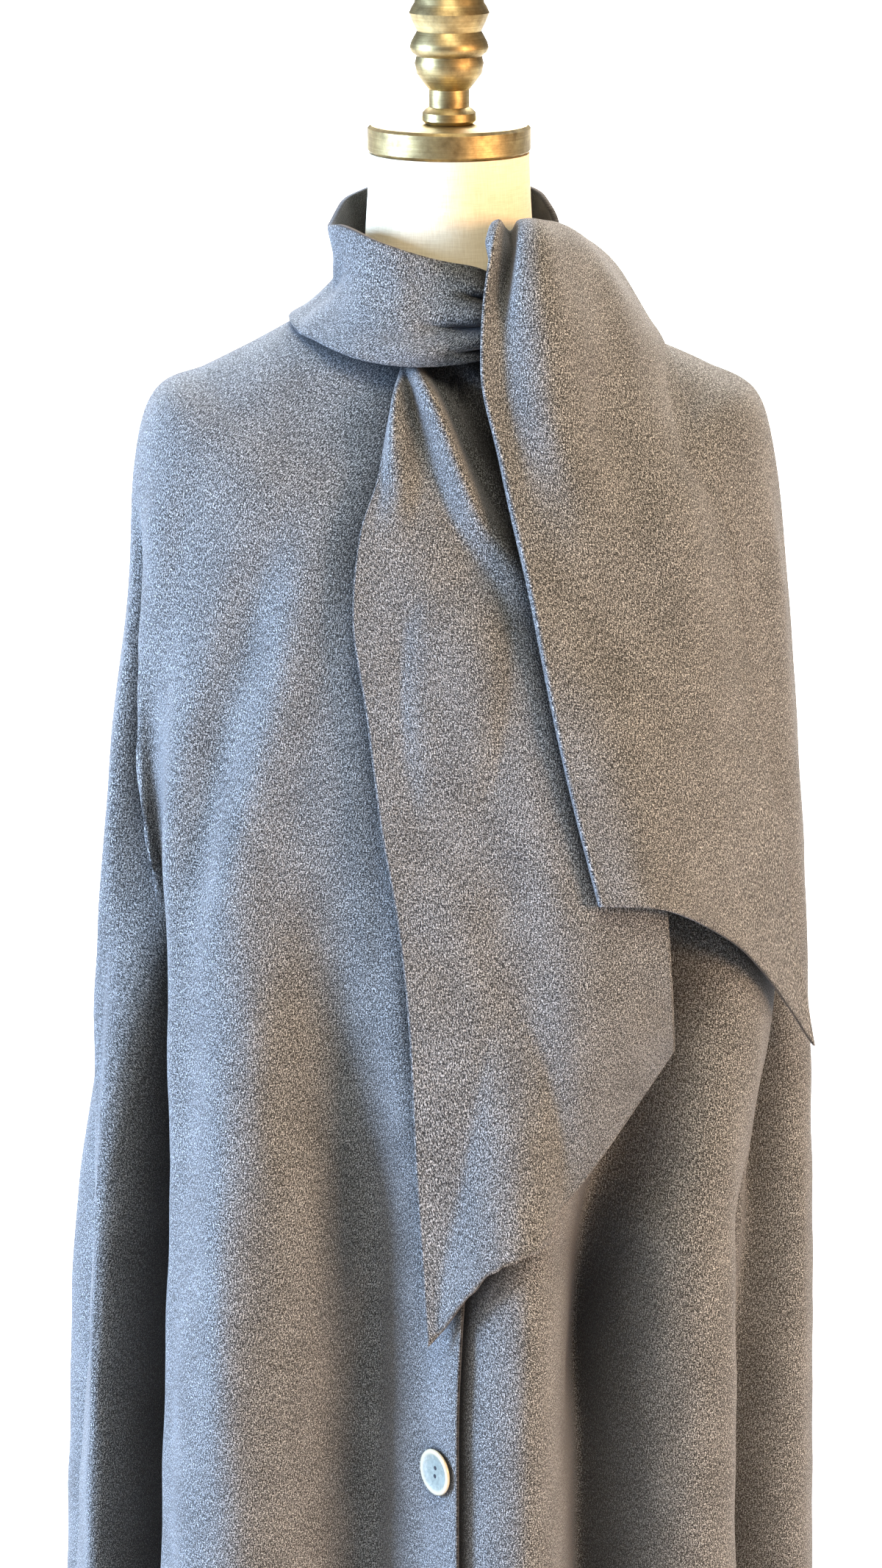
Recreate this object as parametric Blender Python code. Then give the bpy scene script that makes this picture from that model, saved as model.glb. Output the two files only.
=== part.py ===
"""Wool cape coat with a tied scarf collar, worn on a limbless dress form.

Metres, +Z up, the front of the coat towards -Y. The origin is the centre of the underside of the stand's foot.
Angles are degrees round the neck: 0 is the centre front, +90 the wearer's left side (+X), 180 the centre back.
"""

import math
from collections import namedtuple

import bpy
from mathutils import Vector
from mathutils.bvhtree import BVHTree

# Cloth and seams
CLOTH = 0.0022
WRAP_CLOTH = 0.0044
TOUCH_GAP = 0.0003
LAYER_GAP = 0.0007
UNDER_END_GAP = 0.0018
OVER_END_GAP = 0.0028

# The stand and the dress form
FOOT_RADIUS = 0.190
FOOT_HEIGHT = 0.030
POLE_RADIUS = 0.016
FORM_BOTTOM_Z = 0.740
FORM_SIDES = 24
FORM_UNDER_CLOTH = 0.0006
NECK_TOP_Z = 1.520
CAP_RADIUS = 0.0575
CAP_HEIGHT = 0.0192

# The wearer's right front laps over the left one, and carries the buttons
SIDE_SEAM_DEG = 90.0
LAP_EDGE_DEG = 3.0
UNDERLAP_DEG = -6.0
LAP_START_DEG = -12.0
PLACKET_START_DEG = -2.6
LAP_GAP = 0.0018
LAP_EDGE_LIFT = 0.0045
LAP_EDGE_LIFT_LOW = 0.0120
LAP_OPENS_Z = 1.10
LAP_OPEN_Z = 0.60

BUTTON_RADIUS = 0.0170
BUTTON_THICKNESS = 0.0034
BUTTON_SHANK_RADIUS = 0.0030
BUTTON_SHANK_HEIGHT = 0.0016
BUTTON_DEG = 0.8
BUTTON_TOP_Z = 1.167
BUTTON_PITCH = 0.185
BUTTON_COUNT = 5
BUTTON_CLEAR = 0.0035

# How fine the cloth is
CAPE_ROWS = 18
FRONT_COLUMNS = 24
BACK_COLUMNS = 35
WRAP_ROWS = 8
WRAP_COLUMNS = 37
END_COLUMNS = 13
END_ROWS = 24

# Each row is one ring of the cape, from the neck seam to the hem. The sides, the centre front and the
# centre back of a ring have their own heights, because it lies on the slope of the shoulders.
CapeRing = namedtuple("CapeRing", "name side_z left_x right_x front_z front_y back_z back_y")
CAPE_RINGS = [
    CapeRing("neck_seam", 1.416, 0.0740, 0.0740, 1.398, -0.072, 1.421, 0.066),
    CapeRing("collar_hollow", 1.404, 0.1000, 0.1030, 1.376, -0.087, 1.399, 0.085),
    CapeRing("mid_shoulder", 1.385, 0.1370, 0.1450, 1.345, -0.102, 1.363, 0.105),
    CapeRing("outer_shoulder", 1.366, 0.1750, 0.1860, 1.310, -0.117, 1.330, 0.120),
    CapeRing("shoulder_tip", 1.349, 0.2100, 0.2190, 1.274, -0.132, 1.290, 0.132),
    CapeRing("upper_arm", 1.299, 0.2250, 0.2340, 1.230, -0.146, 1.238, 0.141),
    CapeRing("bust", 1.212, 0.2310, 0.2450, 1.164, -0.159, 1.167, 0.149),
    CapeRing("elbow", 1.081, 0.2470, 0.2570, 1.060, -0.171, 1.060, 0.161),
    CapeRing("waist", 0.942, 0.2570, 0.2670, 0.938, -0.185, 0.938, 0.175),
    CapeRing("hip", 0.799, 0.2650, 0.2740, 0.799, -0.199, 0.799, 0.189),
    CapeRing("thigh", 0.651, 0.2730, 0.2770, 0.651, -0.212, 0.651, 0.202),
    CapeRing("knee", 0.498, 0.2810, 0.2810, 0.498, -0.224, 0.498, 0.214),
    CapeRing("hem", 0.335, 0.2890, 0.2870, 0.335, -0.236, 0.335, 0.226),
]

# Each row is one flute of the cape: it starts at start_z on the angle start_deg and is full low down, on
# hem_deg. A positive height is a ridge, a negative one a hollow, and lean carries it sideways.
Flute = namedtuple("Flute", "name start_deg hem_deg start_z half_width_deg height lean")
FLUTES = [
    Flute("right_back_ridge", -112, -106, 1.00, 13, 0.030, 0.000),
    Flute("right_seam_hollow", -92, -86, 1.02, 8, -0.026, 0.000),
    Flute("right_side_ridge", -80, -69, 1.28, 9, 0.012, -0.004),
    Flute("right_side_hollow", -65, -56, 1.28, 5.5, -0.060, 0.000),
    Flute("right_breast_ridge", -33, -33, 1.18, 9, 0.050, 0.000),
    Flute("right_front_hollow", -25, -12.5, 1.15, 6.5, -0.036, 0.000),
    Flute("front_edge_lean", 0, 0, 0.85, 7, 0.000, -0.010),
    Flute("front_ridge", 18, 11, 1.16, 7, 0.052, 0.000),
    Flute("left_front_hollow", 44, 23, 1.14, 7, -0.044, 0.000),
    Flute("left_breast_ridge", 58, 39, 1.14, 9, 0.036, 0.000),
    Flute("left_side_hollow", 68, 56, 1.02, 7, -0.038, 0.000),
    Flute("left_side_ridge", 74, 70, 1.02, 10, 0.010, 0.000),
    Flute("left_seam_hollow", 94, 92, 0.98, 9, -0.026, 0.000),
    Flute("left_back_ridge", 112, 111, 1.04, 11, 0.018, 0.000),
    Flute("left_blade_hollow", 130, 132, 1.10, 10, -0.034, 0.000),
    Flute("left_spine_ridge", 150, 152, 1.06, 12, 0.026, 0.000),
    Flute("back_hollow", 174, 176, 1.12, 11, -0.036, 0.000),
    Flute("right_spine_ridge", -164, -160, 1.08, 11, 0.024, 0.000),
    Flute("right_blade_hollow", -138, -134, 1.10, 11, -0.034, 0.000),
]
FLUTE_FULL_Z = 0.64

# Each row is one section of the dress form. Its shoulders have no rows: they follow the cape that lies on
# them, from row 1 to row SHOULDER_ROWS of the cape's wall.
FormRing = namedtuple("FormRing", "name side_z side_x front_z front_y back_z back_y")
NECK_RINGS = [
    FormRing("neck_top", 1.5197, 0.0568, 1.5197, -0.0568, 1.5197, 0.0568),
    FormRing("neck_middle", 1.4900, 0.0576, 1.4900, -0.0576, 1.4900, 0.0572),
    FormRing("neck_low", 1.4560, 0.0598, 1.4520, -0.0600, 1.4560, 0.0580),
    FormRing("neck_base", 1.4130, 0.0670, 1.3960, -0.0650, 1.4180, 0.0600),
]
SHOULDER_ROWS = 5
BODY_RINGS = [
    FormRing("armhole", 1.2900, 0.2000, 1.2200, -0.1360, 1.2300, 0.1250),
    FormRing("bust", 1.2000, 0.1740, 1.1500, -0.1420, 1.1600, 0.1220),
    FormRing("under_bust", 1.1000, 0.1520, 1.0600, -0.1180, 1.0700, 0.1120),
    FormRing("waist", 0.9900, 0.1300, 0.9700, -0.0960, 0.9700, 0.0960),
    FormRing("high_hip", 0.9000, 0.1550, 0.8900, -0.1080, 0.8900, 0.1120),
    FormRing("hip", 0.8200, 0.1760, 0.8200, -0.1160, 0.8200, 0.1280),
    FormRing("bottom", FORM_BOTTOM_Z, 0.1760, FORM_BOTTOM_Z, -0.1140, FORM_BOTTOM_Z, 0.1260),
]

# Each row is one upright section of the scarf where it goes round the neck, from its end tucked in beside
# the knot, round the back, to the knot. Radii run from its lower edge, over its belly, to its top edge.
WrapSection = namedtuple("WrapSection", "name deg low_r low_z belly_r waist_r top_r top_z")
WRAP_SECTIONS = [
    WrapSection("tucked_end", -322, 0.098, 1.402, 0.099, 0.093, 0.086, 1.438),
    WrapSection("left_of_front", -305, 0.106, 1.400, 0.100, 0.091, 0.084, 1.444),
    WrapSection("left_side", -270, 0.114, 1.404, 0.092, 0.082, 0.078, 1.456),
    WrapSection("left_nape", -235, 0.106, 1.406, 0.090, 0.082, 0.078, 1.486),
    WrapSection("nape", -180, 0.092, 1.408, 0.084, 0.078, 0.075, 1.494),
    WrapSection("right_nape", -125, 0.104, 1.404, 0.086, 0.081, 0.080, 1.486),
    WrapSection("right_side", -88, 0.112, 1.399, 0.083, 0.081, 0.083, 1.470),
    WrapSection("right_collarbone", -58, 0.110, 1.396, 0.092, 0.086, 0.087, 1.475),
    WrapSection("right_of_front", -28, 0.109, 1.388, 0.104, 0.094, 0.088, 1.466),
    WrapSection("centre_front", -4, 0.109, 1.388, 0.108, 0.098, 0.085, 1.456),
    WrapSection("by_the_knot", 14, 0.108, 1.393, 0.108, 0.099, 0.083, 1.450),
    WrapSection("knot", 27, 0.106, 1.402, 0.105, 0.098, 0.085, 1.440),
]

# Each row is one section of a scarf end, from the knot down: points (x, y, z) on its left edge, at the
# first and the second third of its width, and on its right edge, all as seen from the front.
EndSection = namedtuple("EndSection", "name left first second right")
OVER_SECTIONS = [
    EndSection("inside_loop", (0.030, -0.064, 1.440), (0.049, -0.054, 1.440),
               (0.063, -0.038, 1.440), (0.072, -0.016, 1.440)),
    EndSection("rising", (0.031, -0.070, 1.466), (0.052, -0.060, 1.468),
               (0.070, -0.040, 1.466), (0.082, -0.012, 1.460)),
    EndSection("crest", (0.033, -0.084, 1.480), (0.056, -0.070, 1.481),
               (0.079, -0.042, 1.474), (0.097, -0.002, 1.458)),
    EndSection("over_the_top", (0.030, -0.104, 1.466), (0.062, -0.100, 1.474),
               (0.095, -0.058, 1.462), (0.120, 0.008, 1.437)),
    EndSection("off_the_neck", (0.026, -0.119, 1.436), (0.064, -0.122, 1.444),
               (0.112, -0.074, 1.432), (0.142, 0.002, 1.404)),
    EndSection("on_the_shoulder", (0.024, -0.126, 1.406), (0.068, -0.132, 1.408),
               (0.122, -0.088, 1.400), (0.152, -0.016, 1.388)),
    EndSection("collarbone", (0.025, -0.132, 1.374), (0.070, -0.138, 1.370),
               (0.124, -0.104, 1.362), (0.160, -0.048, 1.360)),
    EndSection("upper_breast", (0.032, -0.144, 1.342), (0.078, -0.146, 1.334),
               (0.130, -0.120, 1.326), (0.172, -0.075, 1.330)),
    EndSection("breast", (0.043, -0.166, 1.299), (0.090, -0.158, 1.290),
               (0.143, -0.136, 1.284), (0.190, -0.092, 1.284)),
    EndSection("under_arm", (0.059, -0.186, 1.234), (0.106, -0.168, 1.224),
               (0.157, -0.146, 1.216), (0.203, -0.104, 1.212)),
    EndSection("ribs", (0.075, -0.198, 1.151), (0.123, -0.192, 1.142),
               (0.174, -0.160, 1.136), (0.219, -0.110, 1.132)),
    EndSection("waist", (0.090, -0.206, 1.088), (0.138, -0.200, 1.076),
               (0.190, -0.160, 1.060), (0.238, -0.106, 1.036)),
    EndSection("cut_edge", (0.105, -0.212, 1.032), (0.155, -0.202, 1.024),
               (0.212, -0.152, 0.974), (0.268, -0.092, 0.882)),
]
UNDER_SECTIONS = [
    EndSection("inside_wrap", (-0.030, -0.088, 1.402), (-0.012, -0.092, 1.403),
               (0.006, -0.092, 1.404), (0.024, -0.088, 1.405)),
    EndSection("under_wrap", (-0.034, -0.095, 1.383), (-0.014, -0.099, 1.383),
               (0.008, -0.099, 1.384), (0.030, -0.096, 1.385)),
    EndSection("fanning", (-0.040, -0.110, 1.359), (-0.014, -0.117, 1.357),
               (0.014, -0.112, 1.357), (0.044, -0.108, 1.357)),
    EndSection("collarbone", (-0.050, -0.135, 1.315), (-0.014, -0.139, 1.311),
               (0.024, -0.134, 1.310), (0.064, -0.130, 1.310)),
    EndSection("crease", (-0.062, -0.150, 1.279), (-0.020, -0.154, 1.272),
               (0.030, -0.150, 1.270), (0.084, -0.146, 1.270)),
    EndSection("breast", (-0.067, -0.164, 1.222), (-0.012, -0.168, 1.214),
               (0.048, -0.166, 1.212), (0.108, -0.160, 1.212)),
    EndSection("under_breast", (-0.058, -0.175, 1.160), (0.004, -0.179, 1.152),
               (0.066, -0.177, 1.150), (0.128, -0.168, 1.150)),
    EndSection("ribs", (-0.048, -0.189, 1.082), (0.014, -0.192, 1.076),
               (0.078, -0.190, 1.076), (0.142, -0.180, 1.080)),
    EndSection("waist", (-0.037, -0.200, 1.018), (0.024, -0.202, 1.016),
               (0.088, -0.201, 1.016), (0.150, -0.190, 1.024)),
    EndSection("high_hip", (-0.029, -0.210, 0.944), (0.032, -0.212, 0.946),
               (0.094, -0.211, 0.958), (0.154, -0.198, 0.978)),
    EndSection("hip", (-0.024, -0.225, 0.840), (0.036, -0.225, 0.866),
               (0.096, -0.220, 0.902), (0.156, -0.203, 0.948)),
    EndSection("cut_edge", (-0.016, -0.240, 0.712), (0.044, -0.237, 0.778),
               (0.094, -0.230, 0.836), (0.157, -0.208, 0.925)),
]

# Each row is one fold or crease of a sheet. It runs straight from (start_along, start_across) to
# (end_along, end_across), as shares of the sheet, and fades out before its end, unless that is the cut edge.
Fold = namedtuple("Fold", "name start_along start_across end_along end_across half_width height")
WRAP_FOLDS = [
    Fold("upper_crease", 1.00, 0.50, 0.80, 0.34, 0.10, -0.0050),
    Fold("lower_crease", 1.00, 0.70, 0.66, 0.80, 0.09, -0.0050),
]
OVER_FOLDS = [
    Fold("turned_edge", 0.20, 0.00, 0.72, 0.00, 0.07, 0.0100),
    Fold("long_ridge", 0.10, 0.28, 0.80, 0.36, 0.11, 0.0090),
]
UNDER_FOLDS = [
    Fold("edge_pleat", 0.06, 0.04, 0.38, 0.22, 0.06, 0.0080),
    Fold("slanting_ridge", 0.08, 0.26, 0.52, 0.66, 0.10, 0.0120),
    Fold("long_ridge", 0.34, 0.58, 0.86, 0.72, 0.24, 0.0080),
]


def smoothstep(low, high, value):
    share = min(1.0, max(0.0, (value - low) / (high - low)))
    return share * share * (3 - 2 * share)


def bump(distance):
    """1 at the middle, 0 from a distance of 2, and smooth all along."""
    return 0.5 + 0.5 * math.cos(math.pi * distance / 2) if abs(distance) < 2 else 0.0


def spline(values, place):
    """A smooth curve through evenly spaced values (numbers or vectors), read at a place from 0 to n - 1."""
    last = len(values) - 1
    index = min(last - 1, max(0, int(math.floor(place))))
    share = place - index
    before = values[max(0, index - 1)]
    here, after = values[index], values[index + 1]
    beyond = values[min(last, index + 2)]
    slope_here, slope_after = (after - before) * 0.5, (beyond - here) * 0.5
    square, cube = share * share, share * share * share
    return (
        here * (2 * cube - 3 * square + 1)
        + slope_here * (cube - 2 * square + share)
        + after * (3 * square - 2 * cube)
        + slope_after * (cube - square)
    )


def spread(start, end, count):
    return [start + (end - start) * step / (count - 1) for step in range(count)]


def wrapped(degrees):
    """The same angle, from -180 up to 180."""
    return (degrees + 180.0) % 360.0 - 180.0


def row_values(rows, place):
    return {name: spline([getattr(row, name) for row in rows], place) for name in rows[0]._fields[1:]}


def flute_shift(degrees, z):
    """How far the flutes carry a point of the cape outwards and sideways."""
    outwards = sideways = 0.0
    for flute in FLUTES:
        if z >= flute.start_z:
            continue
        share = smoothstep(flute.start_z, FLUTE_FULL_Z, z)
        middle = flute.start_deg + (flute.hem_deg - flute.start_deg) * min(1.0, share * 1.2)
        near = bump(wrapped(degrees - middle) / flute.half_width_deg)
        outwards += flute.height * share * near
        sideways += flute.lean * share * near
    return outwards, sideways


def cape_point(degrees, place, lift=None):
    """A point of the cape's inner face: place counts the rows of CAPE_RINGS, and lift raises a panel."""
    ring = row_values(CAPE_RINGS, place)
    angle = math.radians(degrees)
    side, front = math.sin(angle), math.cos(angle)
    half_width = ring["right_x"] if side > 0 else ring["left_x"]
    depth, end_z = (ring["front_y"], ring["front_z"]) if front > 0 else (-ring["back_y"], ring["back_z"])
    z = ring["side_z"] + (end_z - ring["side_z"]) * front * front
    outwards, sideways = flute_shift(degrees, z)
    outwards += lift(degrees, z) if lift else 0.0
    across = Vector((side / half_width, -front / abs(depth))).normalized()
    return Vector((
        half_width * side + across.x * outwards - across.y * sideways,
        depth * front + across.y * outwards + across.x * sideways,
        z,
    ))


def cape_normal(degrees, place, lift=None):
    step_deg, step_place = 0.4, 0.02
    low, high = max(0.0, place - step_place), min(len(CAPE_RINGS) - 1.0, place + step_place)
    around = cape_point(degrees + step_deg, place, lift) - cape_point(degrees - step_deg, place, lift)
    down = cape_point(degrees, high, lift) - cape_point(degrees, low, lift)
    return down.cross(around).normalized()


def cape_place(degrees, z):
    """The place on the cape where the angle's line reaches the height z."""
    low, high = 0.0, len(CAPE_RINGS) - 1.0
    for _ in range(24):
        middle = (low + high) / 2
        if cape_point(degrees, middle).z > z:
            low = middle
        else:
            high = middle
    return (low + high) / 2


def edge_lift(z):
    """How far the lap's free edge stands off the left front: it opens towards the hem."""
    return LAP_EDGE_LIFT + (LAP_EDGE_LIFT_LOW - LAP_EDGE_LIFT) * smoothstep(LAP_OPENS_Z, LAP_OPEN_Z, z)


def lap_lift(degrees, z):
    """The right front rises over the left one towards its edge."""
    over_the_left = smoothstep(LAP_START_DEG, UNDERLAP_DEG - 0.8, degrees) * (CLOTH + LAP_GAP)
    return over_the_left + smoothstep(PLACKET_START_DEG, LAP_EDGE_DEG + 1.5, degrees) * edge_lift(z)


def cover_lift(degrees, z):
    """What lies on the fronts clears the lap and its buttons, and comes down again beyond the edge."""
    button = BUTTON_THICKNESS + BUTTON_SHANK_HEIGHT + BUTTON_CLEAR
    height = CLOTH + LAP_GAP + edge_lift(z) + button * smoothstep(BUTTON_TOP_Z + 0.12, BUTTON_TOP_Z + 0.04, z)
    return height * smoothstep(-15.0, -4.0, degrees) * (1 - smoothstep(LAP_EDGE_DEG + 1.0, 20.0, degrees))


def material(name, colour, roughness, metallic=0.0):
    made = bpy.data.materials.get(name) or bpy.data.materials.new(name)
    made.use_nodes = True
    shader = made.node_tree.nodes["Principled BSDF"]
    shader.inputs["Base Color"].default_value = (*colour, 1.0)
    shader.inputs["Roughness"].default_value = roughness
    shader.inputs["Metallic"].default_value = metallic
    return made


def add_object(name, points, faces, finish, sharp_deg=40.0):
    mesh = bpy.data.meshes.new(name)
    mesh.from_pydata([tuple(point) for point in points], [], faces)
    mesh.shade_smooth()
    mesh.set_sharp_from_angle(angle=math.radians(sharp_deg))
    mesh.materials.append(finish)
    made = bpy.data.objects.new(name, mesh)
    bpy.context.scene.collection.objects.link(made)
    return made


def surface_of(made, first_point=0):
    """The object's faces whose points come from first_point on, to be asked for the nearest to a point."""
    mesh = made.data
    faces = [polygon.vertices for polygon in mesh.polygons if min(polygon.vertices) >= first_point]
    return BVHTree.FromPolygons([vertex.co for vertex in mesh.vertices], faces)


def outside_of(wall):
    """The outer face alone of a cloth wall, which holds the second half of its points."""
    return surface_of(wall, len(wall.data.vertices) // 2)


def add_wall(name, inner, outer, finish):
    """A cloth wall between two grids of points, closed round its four edges."""
    rows, columns = len(inner), len(inner[0])
    points = [point for grid in (inner, outer) for row in grid for point in row]
    far = rows * columns

    def at(row, column):
        return row * columns + column

    faces = []
    for row in range(rows - 1):
        for column in range(columns - 1):
            quad = (at(row, column), at(row, column + 1), at(row + 1, column + 1), at(row + 1, column))
            faces.append(quad)
            faces.append(tuple(far + corner for corner in reversed(quad)))
    rim = [at(0, column) for column in range(columns)]
    rim += [at(row, columns - 1) for row in range(1, rows)]
    rim += [at(rows - 1, column) for column in range(columns - 2, -1, -1)]
    rim += [at(row, 0) for row in range(rows - 2, 0, -1)]
    for here, after in zip(rim, rim[1:] + rim[:1]):
        faces.append((after, here, far + here, far + after))
    return add_object(name, points, faces, finish)


def add_sheet(name, middle, thickness, finish):
    """A cloth wall whose middle is a grid of points."""
    rows, columns = len(middle), len(middle[0])
    inner, outer = [], []
    for row in range(rows):
        inner_row, outer_row = [], []
        for column in range(columns):
            down = middle[min(rows - 1, row + 1)][column] - middle[max(0, row - 1)][column]
            across = middle[row][min(columns - 1, column + 1)] - middle[row][max(0, column - 1)]
            normal = down.cross(across).normalized()
            inner_row.append(middle[row][column] - normal * thickness / 2)
            outer_row.append(middle[row][column] + normal * thickness / 2)
        inner.append(inner_row)
        outer.append(outer_row)
    return add_wall(name, inner, outer, finish)


def add_stack(name, rings, finish, sharp_deg=40.0):
    """A closed body through rings of points that run anticlockwise from above, the lowest ring first."""
    count = len(rings[0])
    points = [point for ring in rings for point in ring]
    faces = [tuple(range(count - 1, -1, -1)), tuple(range(len(points) - count, len(points)))]
    for level in range(len(rings) - 1):
        for step in range(count):
            after = (step + 1) % count
            base, top = level * count, (level + 1) * count
            faces.append((base + step, base + after, top + after, top + step))
    return add_object(name, points, faces, finish, sharp_deg)


def turned(name, profile, finish, sides, sharp_deg=40.0):
    """A turned body: profile holds (radius, height), from its lower face up."""
    rings = []
    for radius, height in profile:
        turns = [math.tau * step / sides for step in range(sides)]
        rings.append([Vector((radius * math.cos(turn), radius * math.sin(turn), height)) for turn in turns])
    return add_stack(name, rings, finish, sharp_deg)


def fold_height(folds, along, across):
    total = 0.0
    for fold in folds:
        travel = (along - fold.start_along) / (fold.end_along - fold.start_along)
        if not 0 <= travel <= 1:
            continue
        middle = fold.start_across + (fold.end_across - fold.start_across) * travel
        fade = smoothstep(0.0, 0.4, travel) * (1.0 if fold.end_along == 1.0 else smoothstep(1.0, 0.5, travel))
        total += fold.height * fade * bump((across - middle) / fold.half_width)
    return total


def stood_off(point, covers, gap):
    """The point, moved out of whatever it would lie in or within the gap of."""
    for _ in range(4):
        for cover in covers:
            spot, normal, _, distance = cover.find_nearest(point)
            away = point - spot
            height = away.dot(normal)
            straight_in = height < 0 and (away - normal * height).length < 0.3 * distance
            if straight_in or distance < 1e-6:
                point = spot + normal * gap
            elif distance < gap:
                point = spot + away * (gap / distance)
    return point


def cape_cover():
    """The outside of the worn cape, as the things that lie on it see it."""
    rows, columns = 41, 121
    grid = []
    for place in spread(0.0, len(CAPE_RINGS) - 1.0, rows):
        row = []
        for degrees in spread(-180.0, 180.0, columns):
            row.append(cape_point(degrees, place, cover_lift) + cape_normal(degrees, place, cover_lift) * CLOTH)
        grid.append(row)
    points = [point for row in grid for point in row]
    faces = []
    for row in range(rows - 1):
        for column in range(columns - 1):
            here = row * columns + column
            faces.append((here, here + columns, here + columns + 1, here + 1))
    return BVHTree.FromPolygons(points, faces)


def cape_panel(name, columns, finish, first_gap, last_gap, lift=None):
    """One cut piece of the cape, from the neck seam to the hem: columns holds the angle of each."""
    inner, outer = [], []
    for place in spread(0.0, len(CAPE_RINGS) - 1.0, CAPE_ROWS):
        inner_row, outer_row = [], []
        for degrees in columns:
            per_degree = (cape_point(degrees + 0.5, place) - cape_point(degrees - 0.5, place)).length
            at_deg = degrees
            if degrees == columns[0]:
                at_deg += first_gap / per_degree
            if degrees == columns[-1]:
                at_deg -= last_gap / per_degree
            inner_row.append(cape_point(at_deg, place, lift))
            outer_row.append(inner_row[-1] + cape_normal(at_deg, place, lift) * CLOTH)
        inner.append(inner_row)
        outer.append(outer_row)
    return add_wall(name, inner, outer, finish)


def build_cape(wool):
    half_gap = TOUCH_GAP / 2
    width = LAP_EDGE_DEG + SIDE_SEAM_DEG
    closer_to_the_edge = [LAP_EDGE_DEG - width * share ** 1.5 for share in spread(1.0, 0.0, FRONT_COLUMNS)]
    right = cape_panel("front_right", closer_to_the_edge, wool, half_gap, 0, lap_lift)
    left = cape_panel("front_left", spread(UNDERLAP_DEG, SIDE_SEAM_DEG, FRONT_COLUMNS), wool, 0, half_gap)
    back_degrees = spread(SIDE_SEAM_DEG, 360 - SIDE_SEAM_DEG, BACK_COLUMNS)
    back = cape_panel("back", back_degrees, wool, half_gap, half_gap)
    return right, left, back


def button_seat(cloth, outside):
    """Where a button is sewn on: the spot, the way it faces, and how far the cloth round it stands up."""
    spot, facing, _, _ = cloth.find_nearest(outside)
    tilt = facing.to_track_quat("Z", "Y")
    turns = [math.tau * step / 12 for step in range(12)]
    round_it = [
        cloth.find_nearest(spot + tilt @ Vector((BUTTON_RADIUS * math.cos(turn), BUTTON_RADIUS * math.sin(turn), 0)))[0]
        for turn in turns
    ]
    facing = Vector((0, 0, 0))
    for here, after in zip(round_it, round_it[1:] + round_it[:1]):
        facing += (here - spot).cross(after - spot)
    facing.normalize()
    return spot, facing, max((point - spot).dot(facing) for point in round_it)


def build_buttons(front, horn):
    """Sew-through buttons with a raised rim and a dished face, each on its thread shank."""
    cloth = surface_of(front)
    for number in range(BUTTON_COUNT):
        z = BUTTON_TOP_Z - BUTTON_PITCH * number
        place = cape_place(BUTTON_DEG, z)
        outside = cape_point(BUTTON_DEG, place, lap_lift) + cape_normal(BUTTON_DEG, place, lap_lift) * CLOTH
        spot, facing, rise = button_seat(cloth, outside)
        base = max(BUTTON_SHANK_HEIGHT, rise + LAYER_GAP)
        face = base + BUTTON_THICKNESS
        profile = [
            (BUTTON_SHANK_RADIUS, 0.0),
            (BUTTON_SHANK_RADIUS, base),
            (BUTTON_RADIUS * 0.90, base),
            (BUTTON_RADIUS, base + BUTTON_THICKNESS * 0.4),
            (BUTTON_RADIUS * 0.97, face),
            (BUTTON_RADIUS * 0.84, face),
            (BUTTON_RADIUS * 0.74, face - BUTTON_THICKNESS * 0.35),
        ]
        button = turned(f"button_{number + 1}", profile, horn, 20)
        button.rotation_mode = "QUATERNION"
        button.rotation_quaternion = facing.to_track_quat("Z", "Y")
        button.location = spot + facing * (TOUCH_GAP * 1.5)


def wrap_middle(covers):
    """The middle of the scarf's wall round the neck, its top edge first."""
    grid = []
    for share in spread(1.0, 0.0, WRAP_ROWS):
        row = []
        for along in spread(0.0, 1.0, WRAP_COLUMNS):
            section = row_values(WRAP_SECTIONS, along * (len(WRAP_SECTIONS) - 1))
            radii = [section["low_r"], section["belly_r"], section["waist_r"], section["top_r"]]
            reach = spline(radii, share * 3) + fold_height(WRAP_FOLDS, along, 1 - share)
            height = section["low_z"] + (section["top_z"] - section["low_z"]) * share
            angle = math.radians(section["deg"])
            point = Vector((reach * math.sin(angle), -reach * math.cos(angle), height))
            row.append(stood_off(point, covers, WRAP_CLOTH / 2 + LAYER_GAP))
        grid.append(row)
    return grid


def end_middle(sections, folds, covers, gap):
    """The middle of a scarf end's wall, its knot end first."""
    columns = [[Vector(getattr(section, name)) for section in sections] for name in sections[0]._fields[1:]]
    laid = []
    for along in spread(0.0, 1.0, END_ROWS):
        across_points = [spline(column, along * (len(sections) - 1)) for column in columns]
        line = [spline(across_points, across * 3) for across in spread(0.0, 1.0, END_COLUMNS)]
        laid.append([stood_off(point, covers, CLOTH / 2 + gap) for point in line])
    raised = []
    for row, along in enumerate(spread(0.0, 1.0, END_ROWS)):
        raised_row = []
        for column, across in enumerate(spread(0.0, 1.0, END_COLUMNS)):
            down = laid[min(END_ROWS - 1, row + 1)][column] - laid[max(0, row - 1)][column]
            sideways = laid[row][min(END_COLUMNS - 1, column + 1)] - laid[row][max(0, column - 1)]
            normal = down.cross(sideways).normalized()
            raised_row.append(laid[row][column] + normal * fold_height(folds, along, across))
        raised.append(raised_row)
    return raised


def rested(middle, wall):
    """The whole grid, moved straight so that its nearest point comes to rest on the wall."""
    points = [point for row in middle for point in row]
    nearest = min(points, key=lambda point: wall.find_nearest(point)[3])
    spot, _, _, distance = wall.find_nearest(nearest)
    move = (spot - nearest) * (1 - (CLOTH / 2 + TOUCH_GAP * 1.5) / distance)
    return [[point + move for point in row] for row in middle]


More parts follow.
